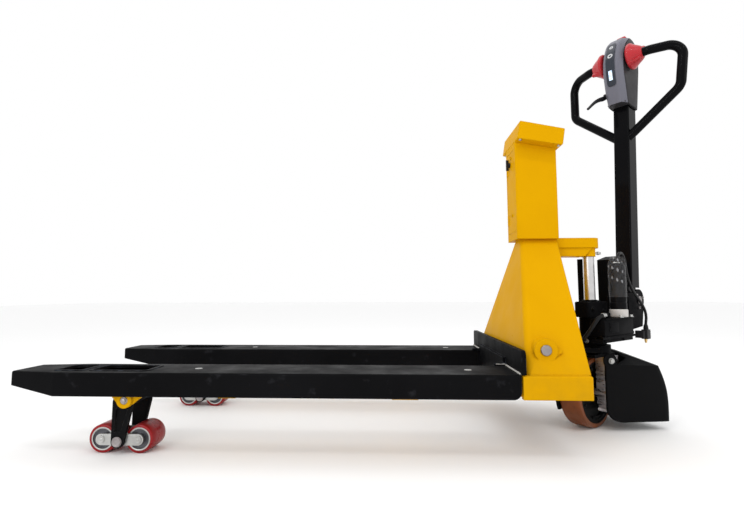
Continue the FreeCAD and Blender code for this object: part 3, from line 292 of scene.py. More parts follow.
def polyurethane(name, colour, deep, rough, dirt):
    look = Look(name, colour, rough, 0.0, 0.03)
    look.set("Specular IOR Level", 0.22)
    look.set("Subsurface Weight", 0.08)
    look.set("Subsurface Radius", (0.01, 0.004, 0.002))
    look.tinted(look.ramp(look.noise(18.0, 8), 0.35, 0.7, 0.0, 0.8), deep)
    look.tinted(look.ramp(look.noise(70.0, 8), 0.55, 0.8, 0.0, 0.6), dirt)
    look.gloss(rough * 0.7, rough * 1.5, 30.0)
    look.relief(look.noise(160.0, 5), 0.18, 0.0006)
    return look


def make_looks():
    looks = {
        "chassis_yellow": painted("paint_yellow", (0.66, 0.335, 0.001), (0.58, 0.28, 0.001), 0.34, 0.0,
                                  (0.74, 0.44, 0.01), 0.0035, gleam=0.010),
        # the platform's bluish edge colour is a painted pale-blue highlight along its edges
        "platform_black": painted("paint_black_satin", (0.0040, 0.0040, 0.0044), (0.0085, 0.0085, 0.0095),
                                  0.42, 0.0, (0.075, 0.090, 0.115), 0.003, 0.09, gleam=0.018),
        "cast_dark": painted("cast_black", (0.006, 0.006, 0.0065), (0.014, 0.013, 0.012), 0.5, 0.0,
                             (0.12, 0.115, 0.11), peel=0.35, gleam=0.02),
        "unit_black": painted("unit_black", (0.0035, 0.0035, 0.004), (0.009, 0.009, 0.010), 0.42, 0.0,
                              (0.10, 0.10, 0.10), peel=0.2, gleam=0.012),
        "motor_black": painted("motor_gloss", (0.004, 0.004, 0.0045), (0.009, 0.009, 0.010), 0.18, 0.03,
                               (0.07, 0.07, 0.07), peel=0.06, gleam=0.03),
        "mast_black": painted("mast_gloss", (0.0025, 0.0025, 0.003), (0.005, 0.005, 0.006), 0.12, 0.0,
                              (0.07, 0.07, 0.07), 0.0015, 0.004, gleam=0.045),
        "wheel_black": painted("wheel_black", (0.002, 0.002, 0.002), (0.005, 0.005, 0.0045), 0.45, 0.0,
                               (0.06, 0.06, 0.06), peel=0.15, gleam=0.06),
        "zinc_steel": plated("zinc", (0.50, 0.50, 0.485), 0.34),
        "shaft_steel": plated("ground_steel", (0.36, 0.33, 0.33), 0.32, (1, 14, 1)),
        "rod_chrome": plated("chrome", (0.66, 0.65, 0.65), 0.24, (1, 1, 0.05), 0.0004),
        "motor_cap": plated("cast_aluminium", (0.60, 0.57, 0.58), 0.30, (1, 1, 6)),
        "cell_aluminium": plated("aluminium", (0.60, 0.60, 0.62), 0.36, (0.2, 1, 1)),
        "tyre_orange": polyurethane("pu_orange", (0.215, 0.058, 0.014), (0.135, 0.032, 0.007), 0.45,
                                    (0.085, 0.032, 0.014)),
        "roller_red": polyurethane("pu_red", (0.30, 0.009, 0.012), (0.19, 0.006, 0.008), 0.32,
                                   (0.12, 0.022, 0.022)),
        "cover_plastic": moulded("cover_textured", (0.0048, 0.0048, 0.0052), 0.50, 700.0, 0.3, radius=0.006,
                                 gleam=0.035),
        "battery_case": moulded("battery_case", (0.012, 0.012, 0.014), 0.5),
        "head_light": moulded("head_light", (0.135, 0.135, 0.165), 0.42, 1100.0, 0.1, 0.03, 0.9),
        "head_dark": moulded("head_dark", (0.030, 0.029, 0.032), 0.46, 1100.0, 0.12, 0.0, 0.85, gleam=0.12),
        "panel_blue": moulded("panel", (0.022, 0.027, 0.038), 0.26, 500.0, 0.04, 0.1, 0.85),
        "knob_red": moulded("knob_red", (0.44, 0.020, 0.028), 0.30, 500.0, 0.015, 0.1, 0.85),
        "control_black": moulded("control_black", (0.006, 0.006, 0.007), 0.34, 900.0, 0.06, 0.05),
        "hose_rubber": moulded("hose_rubber", (0.006, 0.006, 0.0065), 0.5, 500.0, 0.2, gleam=0.15),
        "cable_rubber": moulded("cable_sheath", (0.004, 0.004, 0.0045), 0.36, 300.0, 0.06, gleam=0.2),
        "connector_grey": moulded("connector", (0.016, 0.016, 0.018), 0.5, 900.0, 0.1),
    }
    # the yellow parts and the drive tyre are made darker towards the bottom
    looks["chassis_yellow"].darker_towards_bottom((0.34, 0.19, 0.012), 0.13, 0.30, 0.40)
    black = looks["platform_black"]
    black.tinted(black.ramp(black.noise(30.0, 10, (1, 5, 1)), 0.62, 0.78, 0.0, 0.5), (0.035, 0.035, 0.040))
    looks["tyre_orange"].darker_towards_bottom((0.10, 0.06, 0.04), 0.0, 0.10, 0.6)
    return looks


LOOKS = make_looks()
EXTRA = {
    "weld": plated("weld_bead", (0.52, 0.50, 0.47), 0.4, (1, 1, 1), 0.0003),
    "brass": plated("brass", (0.75, 0.52, 0.22), 0.3),
    "ring_grey": moulded("ring_grey", (0.50, 0.48, 0.46), 0.4),
    "dark_bearing": plated("bearing_seal", (0.10, 0.10, 0.11), 0.4),
    # pale opaque slivers that paint glints of light on the wrapping film
    "film_glint": moulded("film_glint_paint", (0.22, 0.225, 0.24), 0.2, 300.0, 0.3),
    "button_grey": moulded("button_grey", (0.46, 0.47, 0.48), 0.35, 900.0, 0.05, 0.2),
}


def lit_screen():
    look = Look("screen_lit", (0.45, 0.62, 0.9), 0.15, 0.0, 0.5)
    look.tinted(look.ramp(look.noise(120.0, 2, (1, 1, 3)), 0.45, 0.55, 0.0, 0.9), (0.85, 0.95, 0.92))
    look.set("Emission Color", (0.55, 0.75, 1.0, 1))
    look.set("Emission Strength", 0.35)
    return look


def clear_film():
    look = Look("clear_film", (0.95, 0.95, 0.97), 0.12, 0.0, 0.3)
    look.set("Alpha", 0.03)
    look.relief(look.noise(55.0, 5, (1, 1, 0.35)), 0.9, 0.004)
    look.gloss(0.05, 0.3, 60.0)
    return look


EXTRA["screen"] = lit_screen()
EXTRA["film"] = clear_film()


def dress_nodes():
    slots = {entry["node"]: entry["material_slot"] for entry in frame["record"]["subparts"]}
    for name, thing in frame["nodes"].items():
        material = LOOKS[slots[name]].material
        if not thing.material_slots:
            thing.data.materials.append(material)
        for slot in thing.material_slots:
            slot.link = "OBJECT"
            slot.material = material


# ---- mesh helpers ------------------------------------------------------------------------------
WASHER = 1.5
TUBE_ANGLE = 60.0


def shade(mesh, degrees):
    work = bmesh.new()
    work.from_mesh(mesh)
    bmesh.ops.recalc_face_normals(work, faces=work.faces)
    for face in work.faces:
        face.smooth = True
    for edge in work.edges:
        if len(edge.link_faces) == 2:
            edge.smooth = edge.calc_face_angle(0) < math.radians(degrees)
    work.to_mesh(mesh)
    work.free()


def baked(thing):
    return bpy.data.meshes.new_from_object(thing.evaluated_get(bpy.context.evaluated_depsgraph_get()))


def dressed(thing, body, slot, look, angle):
    """Shades a finished mesh and gives the piece its material, picked by its slot unless a look is given,
    and its body.
    """
    shade(thing.data, angle)
    thing.data.materials.clear()
    thing.data.materials.append((look or LOOKS[slot]).material)
    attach(thing, body)
    return thing


def piece(name, work, body, slot, place=WORLD, look=None, bevel=0.0, smooth=0, thick=0.0, angle=34.0):
    """Turns a bmesh, in millimetres of its own frame, into a finished piece that rides a body."""
    mesh = bpy.data.meshes.new(name)
    bmesh.ops.scale(work, vec=(MM, MM, MM), verts=work.verts)
    work.to_mesh(mesh)
    work.free()
    mesh.transform(place)
    thing = linked(name, mesh)
    if thick:
        solid = thing.modifiers.new("wall", "SOLIDIFY")
        solid.thickness = thick * MM
        solid.offset = -1
    if bevel:
        rounding = thing.modifiers.new("rounding", "BEVEL")
        rounding.width = bevel * MM
        rounding.segments = 3
        rounding.limit_method = "ANGLE"
        rounding.angle_limit = math.radians(32)
    if smooth:
        finer = thing.modifiers.new("finer", "SUBSURF")
        finer.levels = smooth
        finer.render_levels = smooth
    if thing.modifiers:
        final = baked(thing)
        thing.modifiers.clear()
        thing.data = final
    return dressed(thing, body, slot, look, angle)


def skin(work, rows, closed=False):
    """Adds quads between rows of vertices; a closed row also joins its last vertex to its first."""
    sides = len(rows[0])
    for low, high in zip(rows, rows[1:]):
        for k in range(sides if closed else sides - 1):
            after = (k + 1) % sides
            work.faces.new((low[k], low[after], high[after], high[k]))


def turned(work, profile, centre, axis, segments=48):
    """Adds a lathed form: profile is (distance along the axis, radius) pairs."""
    axis = Vector(axis).normalized()
    side = axis.orthogonal().normalized()
    other = axis.cross(side)
    rings = []
    for along, radius in profile:
        base = Vector(centre) + axis * along
        if radius < 1e-6:
            rings.append([work.verts.new(base)])
            continue
        rings.append([work.verts.new(base + side * (radius * math.cos(2 * math.pi * k / segments))
                                     + other * (radius * math.sin(2 * math.pi * k / segments)))
                      for k in range(segments)])
    for first, second in zip(rings, rings[1:]):
        for k in range(segments):
            after = (k + 1) % segments
            corners = [first[k % len(first)], first[after % len(first)],
                       second[after % len(second)], second[k % len(second)]]
            corners = list(dict.fromkeys(corners))
            if len(corners) > 2:
                work.faces.new(corners)
    return work


def block(work, low, high):
    made = bmesh.ops.create_cube(work, size=1.0)["verts"]
    for vert in made:
        vert.co = Vector([a + (b - a) * (c + 0.5) for a, b, c in zip(low, high, vert.co)])
    return work


def bolt(work, centre, axis, across, height, washer=0.0):
    """Adds a hexagon head with a chamfered crown, on a flat washer when its radius is given."""
    radius = across / math.sqrt(3)
    foot = 0
    if washer:
        foot = WASHER
        turned(work, [(0, 0), (0, washer), (foot - 0.3, washer), (foot, washer - 0.3), (foot, 0)],
               centre, axis, 32)
    turned(work, [(foot, 0), (foot, radius), (foot + height * 0.85, radius),
                  (foot + height, radius * 0.84), (foot + height, 0)], centre, axis, 6)


def socket_screw(work, centre, axis, radius, height):
    """Adds a round head with a hexagon socket."""
    inner = radius * 0.5
    turned(work, [(0, 0), (0, radius), (height * 0.85, radius), (height, radius * 0.9), (height, inner)],
           centre, axis, 32)
    turned(work, [(height, inner), (height * 0.4, inner * 0.96), (height * 0.4, 0)], centre, axis, 6)


def tube(name, points, radius, place):
    """Smooth tube along given points, in millimetres of its own frame."""
    data = bpy.data.curves.new(name + "_path", "CURVE")
    data.dimensions = "3D"
    data.resolution_u = 10
    spline = data.splines.new("NURBS")
    spline.points.add(len(points) - 1)
    for point, (x, y, z) in zip(spline.points, points):
        point.co = (x * MM, y * MM, z * MM, 1)
    spline.order_u = 3
    spline.use_endpoint_u = True
    data.bevel_depth = radius * MM
    data.bevel_resolution = 5
    data.use_fill_caps = True
    holder = linked(name + "_path", data)
    mesh = baked(holder)
    bpy.data.objects.remove(holder)
    mesh.transform(place)
    return linked(name, mesh)


def between(table, at):
    """Straight-line reading of a table of (input, output) pairs."""
    for (a, low), (b, high) in zip(table, table[1:]):
        if at <= b:
            return low + (high - low) * max(at - a, 0) / (b - a)
    return table[-1][1]


# ---- control head ------------------------------------------------------------------------------
# offsets from the tiller's centre line, each against the height
HEAD_FRONT = ((660, -66), (712, -85), (760, -97), (800, -99), (830, -92), (864, -79), (889, -54), (908, -12))
HEAD_REAR = ((662, 33), (730, 38), (800, 46), (852, 44), (888, 30), (908, 10))
HEAD_SEAM = ((640, -38), (712, -60), (760, -74), (805, -76), (845, -66), (872, -48), (890, -28), (908, -3))
HEAD_WIDE = ((660, 30.5), (700, 31.6), (855, 31.6), (884, 30.5), (896, 28.5), (904, 25.0), (909, 20.0))
HEAD_LEVELS = (660, 663, 672, 690, 712, 735, 760, 780, 800, 815,
               830, 846, 860, 870, 880, 889, 896, 902, 906, 908.5)
HEAD_TOP = 909
PANEL_FOOT, PANEL_TOP, PANEL_HALF, PANEL_CORNER, PANEL_STEPS = 713, 862, 13.8, 6, 30
KNOB_CENTRE = Vector((-42, 0, 815))
KNOB_BORE = 14.4
KNOB_FORM = ((35.5, KNOB_BORE), (35.5, 32), (36.0, 36.5), (38, 40.2), (40, 41.6), (45, 41.9), (47, 41.0),
             (50, 38.2), (52, 36.6), (58, 32.2), (66, 27), (73, 22), (76, 19.2), (77.6, 16.8),
             (78, KNOB_BORE))
WING_FOOT, WING_TOP, WING_INNER, WING_OUTER, WING_HALF = 12, 45, 39, 77, 8
LEVER_PATH = ((-46, 37, 705), (-64, 38, 694), (-92, 43, 678), (-116, 50, 659), (-132, 57, 639))
LEVER_ROOT, LEVER_REACH, LEVER_HEIGHT, LEVER_FALL = 46, 86, 705, 66


def head_arc(z, front):
    nose, heel, wide = between(HEAD_FRONT, z), between(HEAD_REAR, z), between(HEAD_WIDE, z)
    seam = between(HEAD_SEAM, z)
    if front:
        cut = min(20.0, seam - nose - 1.0)
        half = [(seam - 0.4, wide), (nose + cut, wide), (nose + cut * 0.75, wide - 2.2),
                (nose + cut * 0.3, wide - 7.5), (nose + cut * 0.08, wide - 11.5), (nose, wide - 16),
                (nose, 7)]
    else:
        half = [(seam + 0.4, wide), ((seam + heel) / 2, wide + 0.3), (heel - 7, wide),
                (heel - 2, wide - 2.5), (heel, wide - 8), (heel, wide - 16), (heel, 7)]
    return [(x, y, z) for x, y in half] + [(x, -y, z) for x, y in reversed(half)]


def head_half(name, front, slot):
    work = bmesh.new()
    rows = [[work.verts.new(co) for co in head_arc(z, front)] for z in HEAD_LEVELS]
    skin(work, rows)
    work.faces.new(rows[-1])
    bmesh.ops.recalc_face_normals(work, faces=work.faces)
    return piece(name, work, "tiller", slot, TILLER, smooth=2, thick=2.2, angle=50)


def add_head():
    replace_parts(head_half("head_front_shell", True, "head_light"), "head_front")
    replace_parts(head_half("head_rear_shell", False, "head_dark"), "head_rear")
    work = block(bmesh.new(), (-58, -28, 662), (31, 28, 665))
    piece("head_floor", work, "tiller", "head_dark", TILLER, bevel=1.0)


def add_panel():
    work = bmesh.new()
    rows = []
    for k in range(PANEL_STEPS + 1):
        z = PANEL_FOOT + (PANEL_TOP - PANEL_FOOT) * k / PANEL_STEPS
        gap = PANEL_CORNER - min(z - PANEL_FOOT, PANEL_TOP - z)
        wide = PANEL_HALF - (PANEL_CORNER - math.sqrt(PANEL_CORNER ** 2 - gap ** 2) if gap > 0 else 0)
        rows.append([work.verts.new((between(HEAD_FRONT, z) - 1.3 + 0.2 * abs(t) ** 4, wide * t, z))
                     for t in (-1, -0.9, -0.6, -0.3, 0, 0.3, 0.6, 0.9, 1)])
    skin(work, rows[::-1])
    panel = piece("panel_membrane", work, "tiller", "panel_blue", TILLER, smooth=1, thick=-1.4)
    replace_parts(panel, "control_panel")
    work = bmesh.new()
    rows = [[work.verts.new((between(HEAD_FRONT, z) - 3.0, y, z)) for y in (-5.5, -4.5, 0, 4.5, 5.5)]
            for z in (731, 733, 740, 750, 759, 761)]
    skin(work, rows[::-1])
    piece("panel_screen", work, "tiller", "panel_blue", TILLER, EXTRA["screen"], thick=-0.6)


def add_buttons():
    for name, joint, z, radius in (("horn_button", "horn_press", 812, 8.4),
                                   ("speed_button", "speed_press", 845, 6.4)):
        point = Vector((between(HEAD_FRONT, z), 0, z))
        out = TILLER.to_3x3().inverted() @ -Vector(JOINTS[joint]["axis"])
        work = turned(bmesh.new(), [(-6, 0), (-6, radius), (2.4, radius), (3.3, radius * 0.93),
                                    (3.4, radius * 0.8), (2.7, radius * 0.55), (2.5, 0)], point, out, 40)
        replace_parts(piece(name + "_cap", work, name, "control_black", TILLER, EXTRA["button_grey"]), name)
        work = turned(bmesh.new(), [(0.6, radius + 0.6), (2.3, radius + 0.7), (2.6, radius + 1.4),
                                    (1.6, radius + 2.2), (0.6, radius + 2.4)], point, out, 40)
        piece(name + "_collar", work, "tiller", "panel_blue", TILLER)
    work = block(bmesh.new(), (-21.6, -16.6, HEAD_TOP - 12), (21.6, 16.6, HEAD_TOP + 6))
    for vert in work.verts:
        if vert.co.z > HEAD_TOP:
            vert.co.x *= 0.86
            vert.co.y *= 0.84
    pad = piece("belly_pad", work, "belly_switch", "knob_red", TILLER, bevel=4.0, smooth=1, angle=60)
    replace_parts(pad, "belly_switch")


def add_wing(work, side, tilt):
    """Adds a thumb wing, narrower at its outer end and its tip, to a knob."""
    inner, outer = sorted((side * WING_INNER, side * WING_OUTER))
    wing = block(bmesh.new(), (-WING_HALF, inner, WING_FOOT), (WING_HALF, outer, WING_TOP))
    for vert in wing.verts:
        if abs(vert.co.y) > 70:
            vert.co.z = WING_FOOT + (vert.co.z - WING_FOOT) * 0.72
            vert.co.x *= 0.8
        if vert.co.z > 20:
            vert.co.x *= 0.7
    bmesh.ops.bevel(wing, geom=wing.edges[:], offset=2.4, segments=3, affect="EDGES")
    holder = bpy.data.meshes.new("wing")
    wing.transform(Matrix.Translation(KNOB_CENTRE) @ Matrix.Rotation(math.radians(tilt), 4, "Y"))
    wing.to_mesh(holder)
    wing.free()
    work.from_mesh(holder)
    bpy.data.meshes.remove(holder)


def add_knobs():
    work = turned(bmesh.new(), [(-38, KNOB_BORE), (-38, 16), (38, 16), (38, KNOB_BORE)],
                  KNOB_CENTRE, (0, 1, 0), 40)
    for side in (-1, 1):
        turned(work, KNOB_FORM, KNOB_CENTRE, (0, side, 0), 56)
        for tilt in (35, 215):
            add_wing(work, side, tilt)
    knobs = piece("butterfly_knobs", work, "throttle", "knob_red", TILLER, angle=28)
    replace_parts(knobs, "throttle_knobs")


def add_lever():
    """Finger lever: a tube made deep at its root and flat at its tip."""
    line = [(LEVER_ROOT + LEVER_REACH * t, LEVER_HEIGHT - LEVER_FALL * t ** 1.35)
            for t in (0, 0.25, 0.5, 0.75, 1)]
    lever = tube("release_lever", LEVER_PATH, 4.4, TILLER)
    inverse = TILLER.inverted()
    for vert in lever.data.vertices:
        local = inverse @ vert.co
        reach = max(min((-LEVER_ROOT * MM - local.x) / (LEVER_REACH * MM), 1), 0)
        middle = between(line, -local.x / MM) * MM
        local.z = middle + (local.z - middle) * (2.0 - 1.1 * reach)
        vert.co = TILLER @ local
    dressed(lever, "finger_lever", "control_black", None, TUBE_ANGLE)
    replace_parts(lever, "finger_lever")
    work = turned(bmesh.new(), [(32.6, 0), (32.6, 8.4), (40, 8.4), (41.2, 7.2), (41.2, 0)],
                  (-52, 0, 703), (0, 1, 0), 32)
    socket_screw(work, (-52, 41.2, 703), (0, 1, 0), 4.0, 1.6)
    piece("lever_hub", work, "finger_lever", "control_black", TILLER)


# ---- wheels ------------------------------------------------------------------------------------
# lathed forms as (distance along the axle, radius)
ROLLER_TYRE = ((-30, 27), (-30, 30.8), (-29.4, 32.2), (-28, 33.0), (-12, 33.3), (12, 33.3),
               (28, 33.0), (29.4, 32.2), (30, 30.8), (30, 27), (-30, 27))
ROLLER_SLEEVE = ((-30, 23.5), (-30.2, 24), (-30.2, 26.6), (-29.6, 27), (29.6, 27), (30.2, 26.6),
                 (30.2, 24), (30, 23.5), (29, 23.5), (-29, 23.5), (-30, 23.5))
ROLLER_BEARING = ((18, 8.1), (27.6, 8.1), (28, 8.6), (28, 12.4), (27.0, 12.8), (26.6, 15.5),
                  (27.0, 19.2), (28, 19.6), (28, 23.0), (27.5, 23.5), (18, 23.5))
AXLE_RING = ((36.5, 9.6), (36.75, 9.5), (36.85, 8.6), (36.6, 8.2))
AXLE_END = ((36.6, 8.0), (36.85, 7.8), (36.9, 7.3), (36.9, 5.2), (36.7, 4.8), (36.7, 3.6),
            (36.9, 3.2), (36.9, 0))
PIN_WASHER = ((45.3, 0), (45.3, 11.5), (46.6, 11.9), (47.4, 11.2), (47.4, 9.6))
PIN_END = ((47.4, 9.6), (48.9, 9.6), (49.6, 8.9), (49.2, 5.4), (48.6, 5.0), (48.6, 0))
DRIVE_CENTRE = Vector((0, 20, 98))
DRIVE_TYRE = ((-29, 85), (-29, 91), (-28.2, 94.4), (-25.5, 96.8), (-21.5, 97.8), (-8, 98), (8, 98),
              (21.5, 97.8), (25.5, 96.8), (28.2, 94.4), (29, 91), (29, 85), (-29, 85))
DRIVE_RIM = ((28.2, 85.0), (29.4, 84.4), (29.4, 81.5), (28.0, 80.6))
DRIVE_BOLTS, DRIVE_BOLT_CIRCLE = 8, 70.5


def add_rollers():
    for side in ("left", "right"):
        for place in ("front", "rear"):
            body = "load_roller_%s_%s" % (place, side)
            centre = joint_at(body + "_spin") / MM
            tyre = turned(bmesh.new(), ROLLER_TYRE, centre, (0, 1, 0), 72)
            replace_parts(piece("tyre_" + body, tyre, body, "roller_red"), body)
            work = turned(bmesh.new(), ROLLER_SLEEVE, centre, (0, 1, 0), 72)
            piece("sleeve_" + body, work, body, "roller_red", look=LOOKS["zinc_steel"])
            work = bmesh.new()
            for way in (-1, 1):
                turned(work, ROLLER_BEARING, centre, (0, way, 0), 60)
            piece("bearing_" + body, work, body, "roller_red", look=EXTRA["dark_bearing"])


def add_bogie_trim():
    for side in ("left", "right"):
        for way in (-1, 1):
            work = bmesh.new()
            for place in ("front", "rear"):
                centre = joint_at("load_roller_%s_%s_spin" % (place, side)) / MM
                turned(work, AXLE_RING, centre, (0, way, 0), 40)
                turned(work, AXLE_END, centre, (0, way, 0), 40)
            piece("axle_ends_%s_%s" % (side, "far" if way > 0 else "near"), work, "bogie_" + side,
                  "zinc_steel")
        centre = joint_at("bogie_%s_level" % side) / MM
        work = bmesh.new()
        for way in (-1, 1):
            turned(work, PIN_WASHER, centre, (0, way, 0), 40)
            turned(work, PIN_END, centre, (0, way, 0), 40)
        piece("bogie_pin_ends_" + side, work, "bogie_pin_" + side, "shaft_steel")
        centre = joint_at("bracket_%s_swing" % side) / MM
        work = bmesh.new()
        for way in (-1, 1):
            turned(work, [(57.6, 6.4), (58.4, 6.3), (58.4, 0)], centre, (0, way, 0), 40)
            bolt(work, centre + Vector((0, way * 58.2, 0)), (0, way, 0), 10, 2.6)
        piece("bracket_pin_ends_" + side, work, "chassis", "shaft_steel")


def add_drive_wheel():
    tyre = turned(bmesh.new(), DRIVE_TYRE, DRIVE_CENTRE, (0, 1, 0), 120)
    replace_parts(piece("drive_tread", tyre, "drive_wheel", "tyre_orange", UNIT), "drive_tyre")
    work = bmesh.new()
    for way, depth in ((-1, 26), (1, 18)):
        turned(work, DRIVE_RIM, DRIVE_CENTRE, (0, way, 0), 96)
        for k in range(DRIVE_BOLTS):
            angle = 2 * math.pi * (k + 0.5) / DRIVE_BOLTS
            spot = Vector((DRIVE_BOLT_CIRCLE * math.cos(angle), way * depth,
                           DRIVE_BOLT_CIRCLE * math.sin(angle)))
            bolt(work, DRIVE_CENTRE + spot, (0, way, 0), 8, 4, 5.6)
    piece("wheel_trim", work, "drive_wheel", "wheel_black", UNIT)


def add_casing_trim():
    work = bmesh.new()
    ridges = []
    for k in range(17):
        ridges += [(2.0 * k, 4.6), (2.0 * k + 1.0, 5.1)]
    turned(work, ridges, (0, -46, 53), (0, 1, 0), 20)
    bolt(work, (-4, -24, 72), (0, -1, 0), 9, 4, 5.5)
    bolt(work, (0, 66, 98), (0, 1, 0), 24, 9, 17)
    bolt(work, (0, -44.2, 98), (0, -1, 0), 19, 3, 13)
    for x, z in ((44, 190), (2, 190), (50, 78)):
        bolt(work, (x, -44.5, z), (0, -1, 0), 8, 2.8)
    piece("casing_bolts", work, "power_unit", "motor_cap", UNIT)
    work = bmesh.new()
    for z in (165, 170, 176, 183):
        block(work, (-9.4, -43.5, z), (-7.5, -13, z + 2.2))
    for z in (112, 100, 88):
        block(work, (-8.8, -43.5, z), (-7.5, -13, z + 1.6))
    piece("casing_ribs", work, "power_unit", "motor_cap", UNIT, bevel=0.4)


# ---- pump set ----------------------------------------------------------------------------------
UP = (0, 0, 1)
MOTOR_PLACE = Vector((66, -48, 0))
MOTOR_CAN = ((328, 0), (328, 21.6), (330, 22), (346, 22), (347, 21.2), (349, 21.2), (350, 22),
             (430, 22), (431, 21.3), (433, 21.3), (434, 22), (448, 22), (452, 20.6), (457, 18),
             (458, 16), (458, 0))
MOTOR_POST = ((456, 0), (456, 5.2), (460, 5.2), (460.4, 3.2), (465.6, 3.2), (466, 2.7), (466, 0))
MOTOR_SEAT = ((306, 0), (306, 22.5), (307, 23.6), (309, 24), (325, 24), (327, 23.4), (328, 22.2),
              (328, 0))
POST_OFFSETS = (-10, 10)
FILM_FOOT, FILM_TALL, FILM_ROWS, FILM_SIDES = 362, 116, 30, 72
FILM_SHOULDER, GLINT_FOOT = 458, 395
HOSE = ((-42, -60, 314), (-72, -60, 314), (-89, -50, 288), (-89, -28, 256), (-68, -4, 241), (-38, -4, 241))
CABLE = ((76, -48, 466), (76, -48, 474), (82, -47, 486), (97, -46, 492), (112, -46, 488), (123, -45, 475),
         (130, -45, 457), (136, -44, 436), (147, -44, 411), (168, -44, 387), (196, -44, 366),
         (226, -45, 345), (250, -46, 322), (258, -46, 298), (250, -46, 279), (250, -46, 262))


def add_motor():
    work = turned(bmesh.new(), MOTOR_CAN, MOTOR_PLACE, UP, 64)
    for dx in POST_OFFSETS:
        turned(work, MOTOR_POST, MOTOR_PLACE + Vector((dx, 0, 0)), UP, 24)
    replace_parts(piece("motor_can", work, "power_unit", "motor_black", UNIT), "pump_motor")
    work = turned(bmesh.new(), MOTOR_SEAT, MOTOR_PLACE, UP, 64)
    piece("motor_seat", work, "power_unit", "motor_black", UNIT, EXTRA["ring_grey"])
    work = bmesh.new()
    for x, y in ((35, -68), (97, -68), (97, -42)):
        bolt(work, (x, y, 306), UP, 8, 5, 6.5)
    for dx in POST_OFFSETS:
        bolt(work, MOTOR_PLACE + Vector((dx, 0, 459)), UP, 9, 3.6)
    piece("motor_bolts", work, "power_unit", "zinc_steel", UNIT)


def add_pump():
    work = block(bmesh.new(), (-67.5, -70, 258), (103.5, -32, 303))
    block(work, (-78, -69, 242), (100, -40, 251.5))
    block(work, (-40, -72.5, 268), (8, -70, 294))
    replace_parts(piece("pump_body", work, "power_unit", "unit_black", UNIT, bevel=2.4), "pump_housing")
    work = block(bmesh.new(), (-66, -73, 303), (102, -31, 306))
    piece("pump_lid", work, "power_unit", "unit_black", UNIT, bevel=0.7)
    work = bmesh.new()
    for x in (-68, 38):
        bolt(work, (x, -69, 246.8), (0, -1, 0), 5.5, 2.5, 3.6)
    turned(work, [(300, 7), (318, 7), (320.5, 6), (321, 4), (321, 0)], (-28, -60, 0), UP, 6)
    turned(work, [(-42, 5.5), (-33, 5.5), (-30, 5)], (0, -60, 314), (1, 0, 0), 24)
    piece("pump_fittings", work, "power_unit", "unit_black", UNIT)
    work = bmesh.new()
    bolt(work, (98, -12, 350), UP, 6, 2)
    for x in (-38, 50):
        socket_screw(work, (x, 0, 349.6), UP, 5.5, 3.5)
    for x, z in ((-30, 330), (34, 322)):
        bolt(work, (x, -21, z), (0, -1, 0), 12, 4.5, 8.5)
    turned(work, [(349.4, 15.2), (351.5, 20), (354, 20), (355, 18.5), (355, 15.2)], (0, 0, 0), UP, 48)
    piece("block_fittings", work, "power_unit", "unit_black", UNIT)


def add_film():
    """Loose wrapping film round the motor, with pale opaque slivers on parts of its folds as painted glints
    of light.
    """
    work = bmesh.new()
    glint_bits = bmesh.new()
    rows = []
    for i in range(FILM_ROWS):
        z = FILM_FOOT + FILM_TALL * i / (FILM_ROWS - 1)
        ring = []
        for k in range(FILM_SIDES):
            angle = 2 * math.pi * k / FILM_SIDES
            fold = (1.1 * math.sin(5 * angle + z * 0.11) + 0.8 * math.sin(9 * angle - z * 0.17)
                    + 0.7 * math.sin(13 * angle + z * 0.31))
            radius = 23.9 + fold * 0.6 - max(z - FILM_SHOULDER, 0) * 0.34
            ring.append(work.verts.new(MOTOR_PLACE + Vector((radius * math.cos(angle),
                                                             radius * math.sin(angle), z))))
        rows.append(ring)
    skin(work, rows, closed=True)
    for low, high in zip(rows, rows[1:]):
        z = low[0].co.z
        for k in range(FILM_SIDES):
            angle, after = 2 * math.pi * k / FILM_SIDES, (k + 1) % FILM_SIDES
            glint_wave = (math.sin(7 * angle + z * 0.09) * math.sin(4 * angle - z * 0.13)
                     + 0.4 * math.sin(z * 0.21 + angle))
            if glint_wave > 0.9 and z > GLINT_FOOT:
                quad = (low[k], low[after], high[after], high[k])
                glint_bits.faces.new([glint_bits.verts.new(vert.co) for vert in quad])
    bmesh.ops.remove_doubles(glint_bits, verts=glint_bits.verts[:], dist=0.01)
    piece("film_glint_slivers", glint_bits, "power_unit", "motor_black", UNIT, EXTRA["film_glint"], smooth=1, thick=0.15)
    piece("wrapping_film", work, "power_unit", "motor_black", UNIT, EXTRA["film"], smooth=1, angle=80)


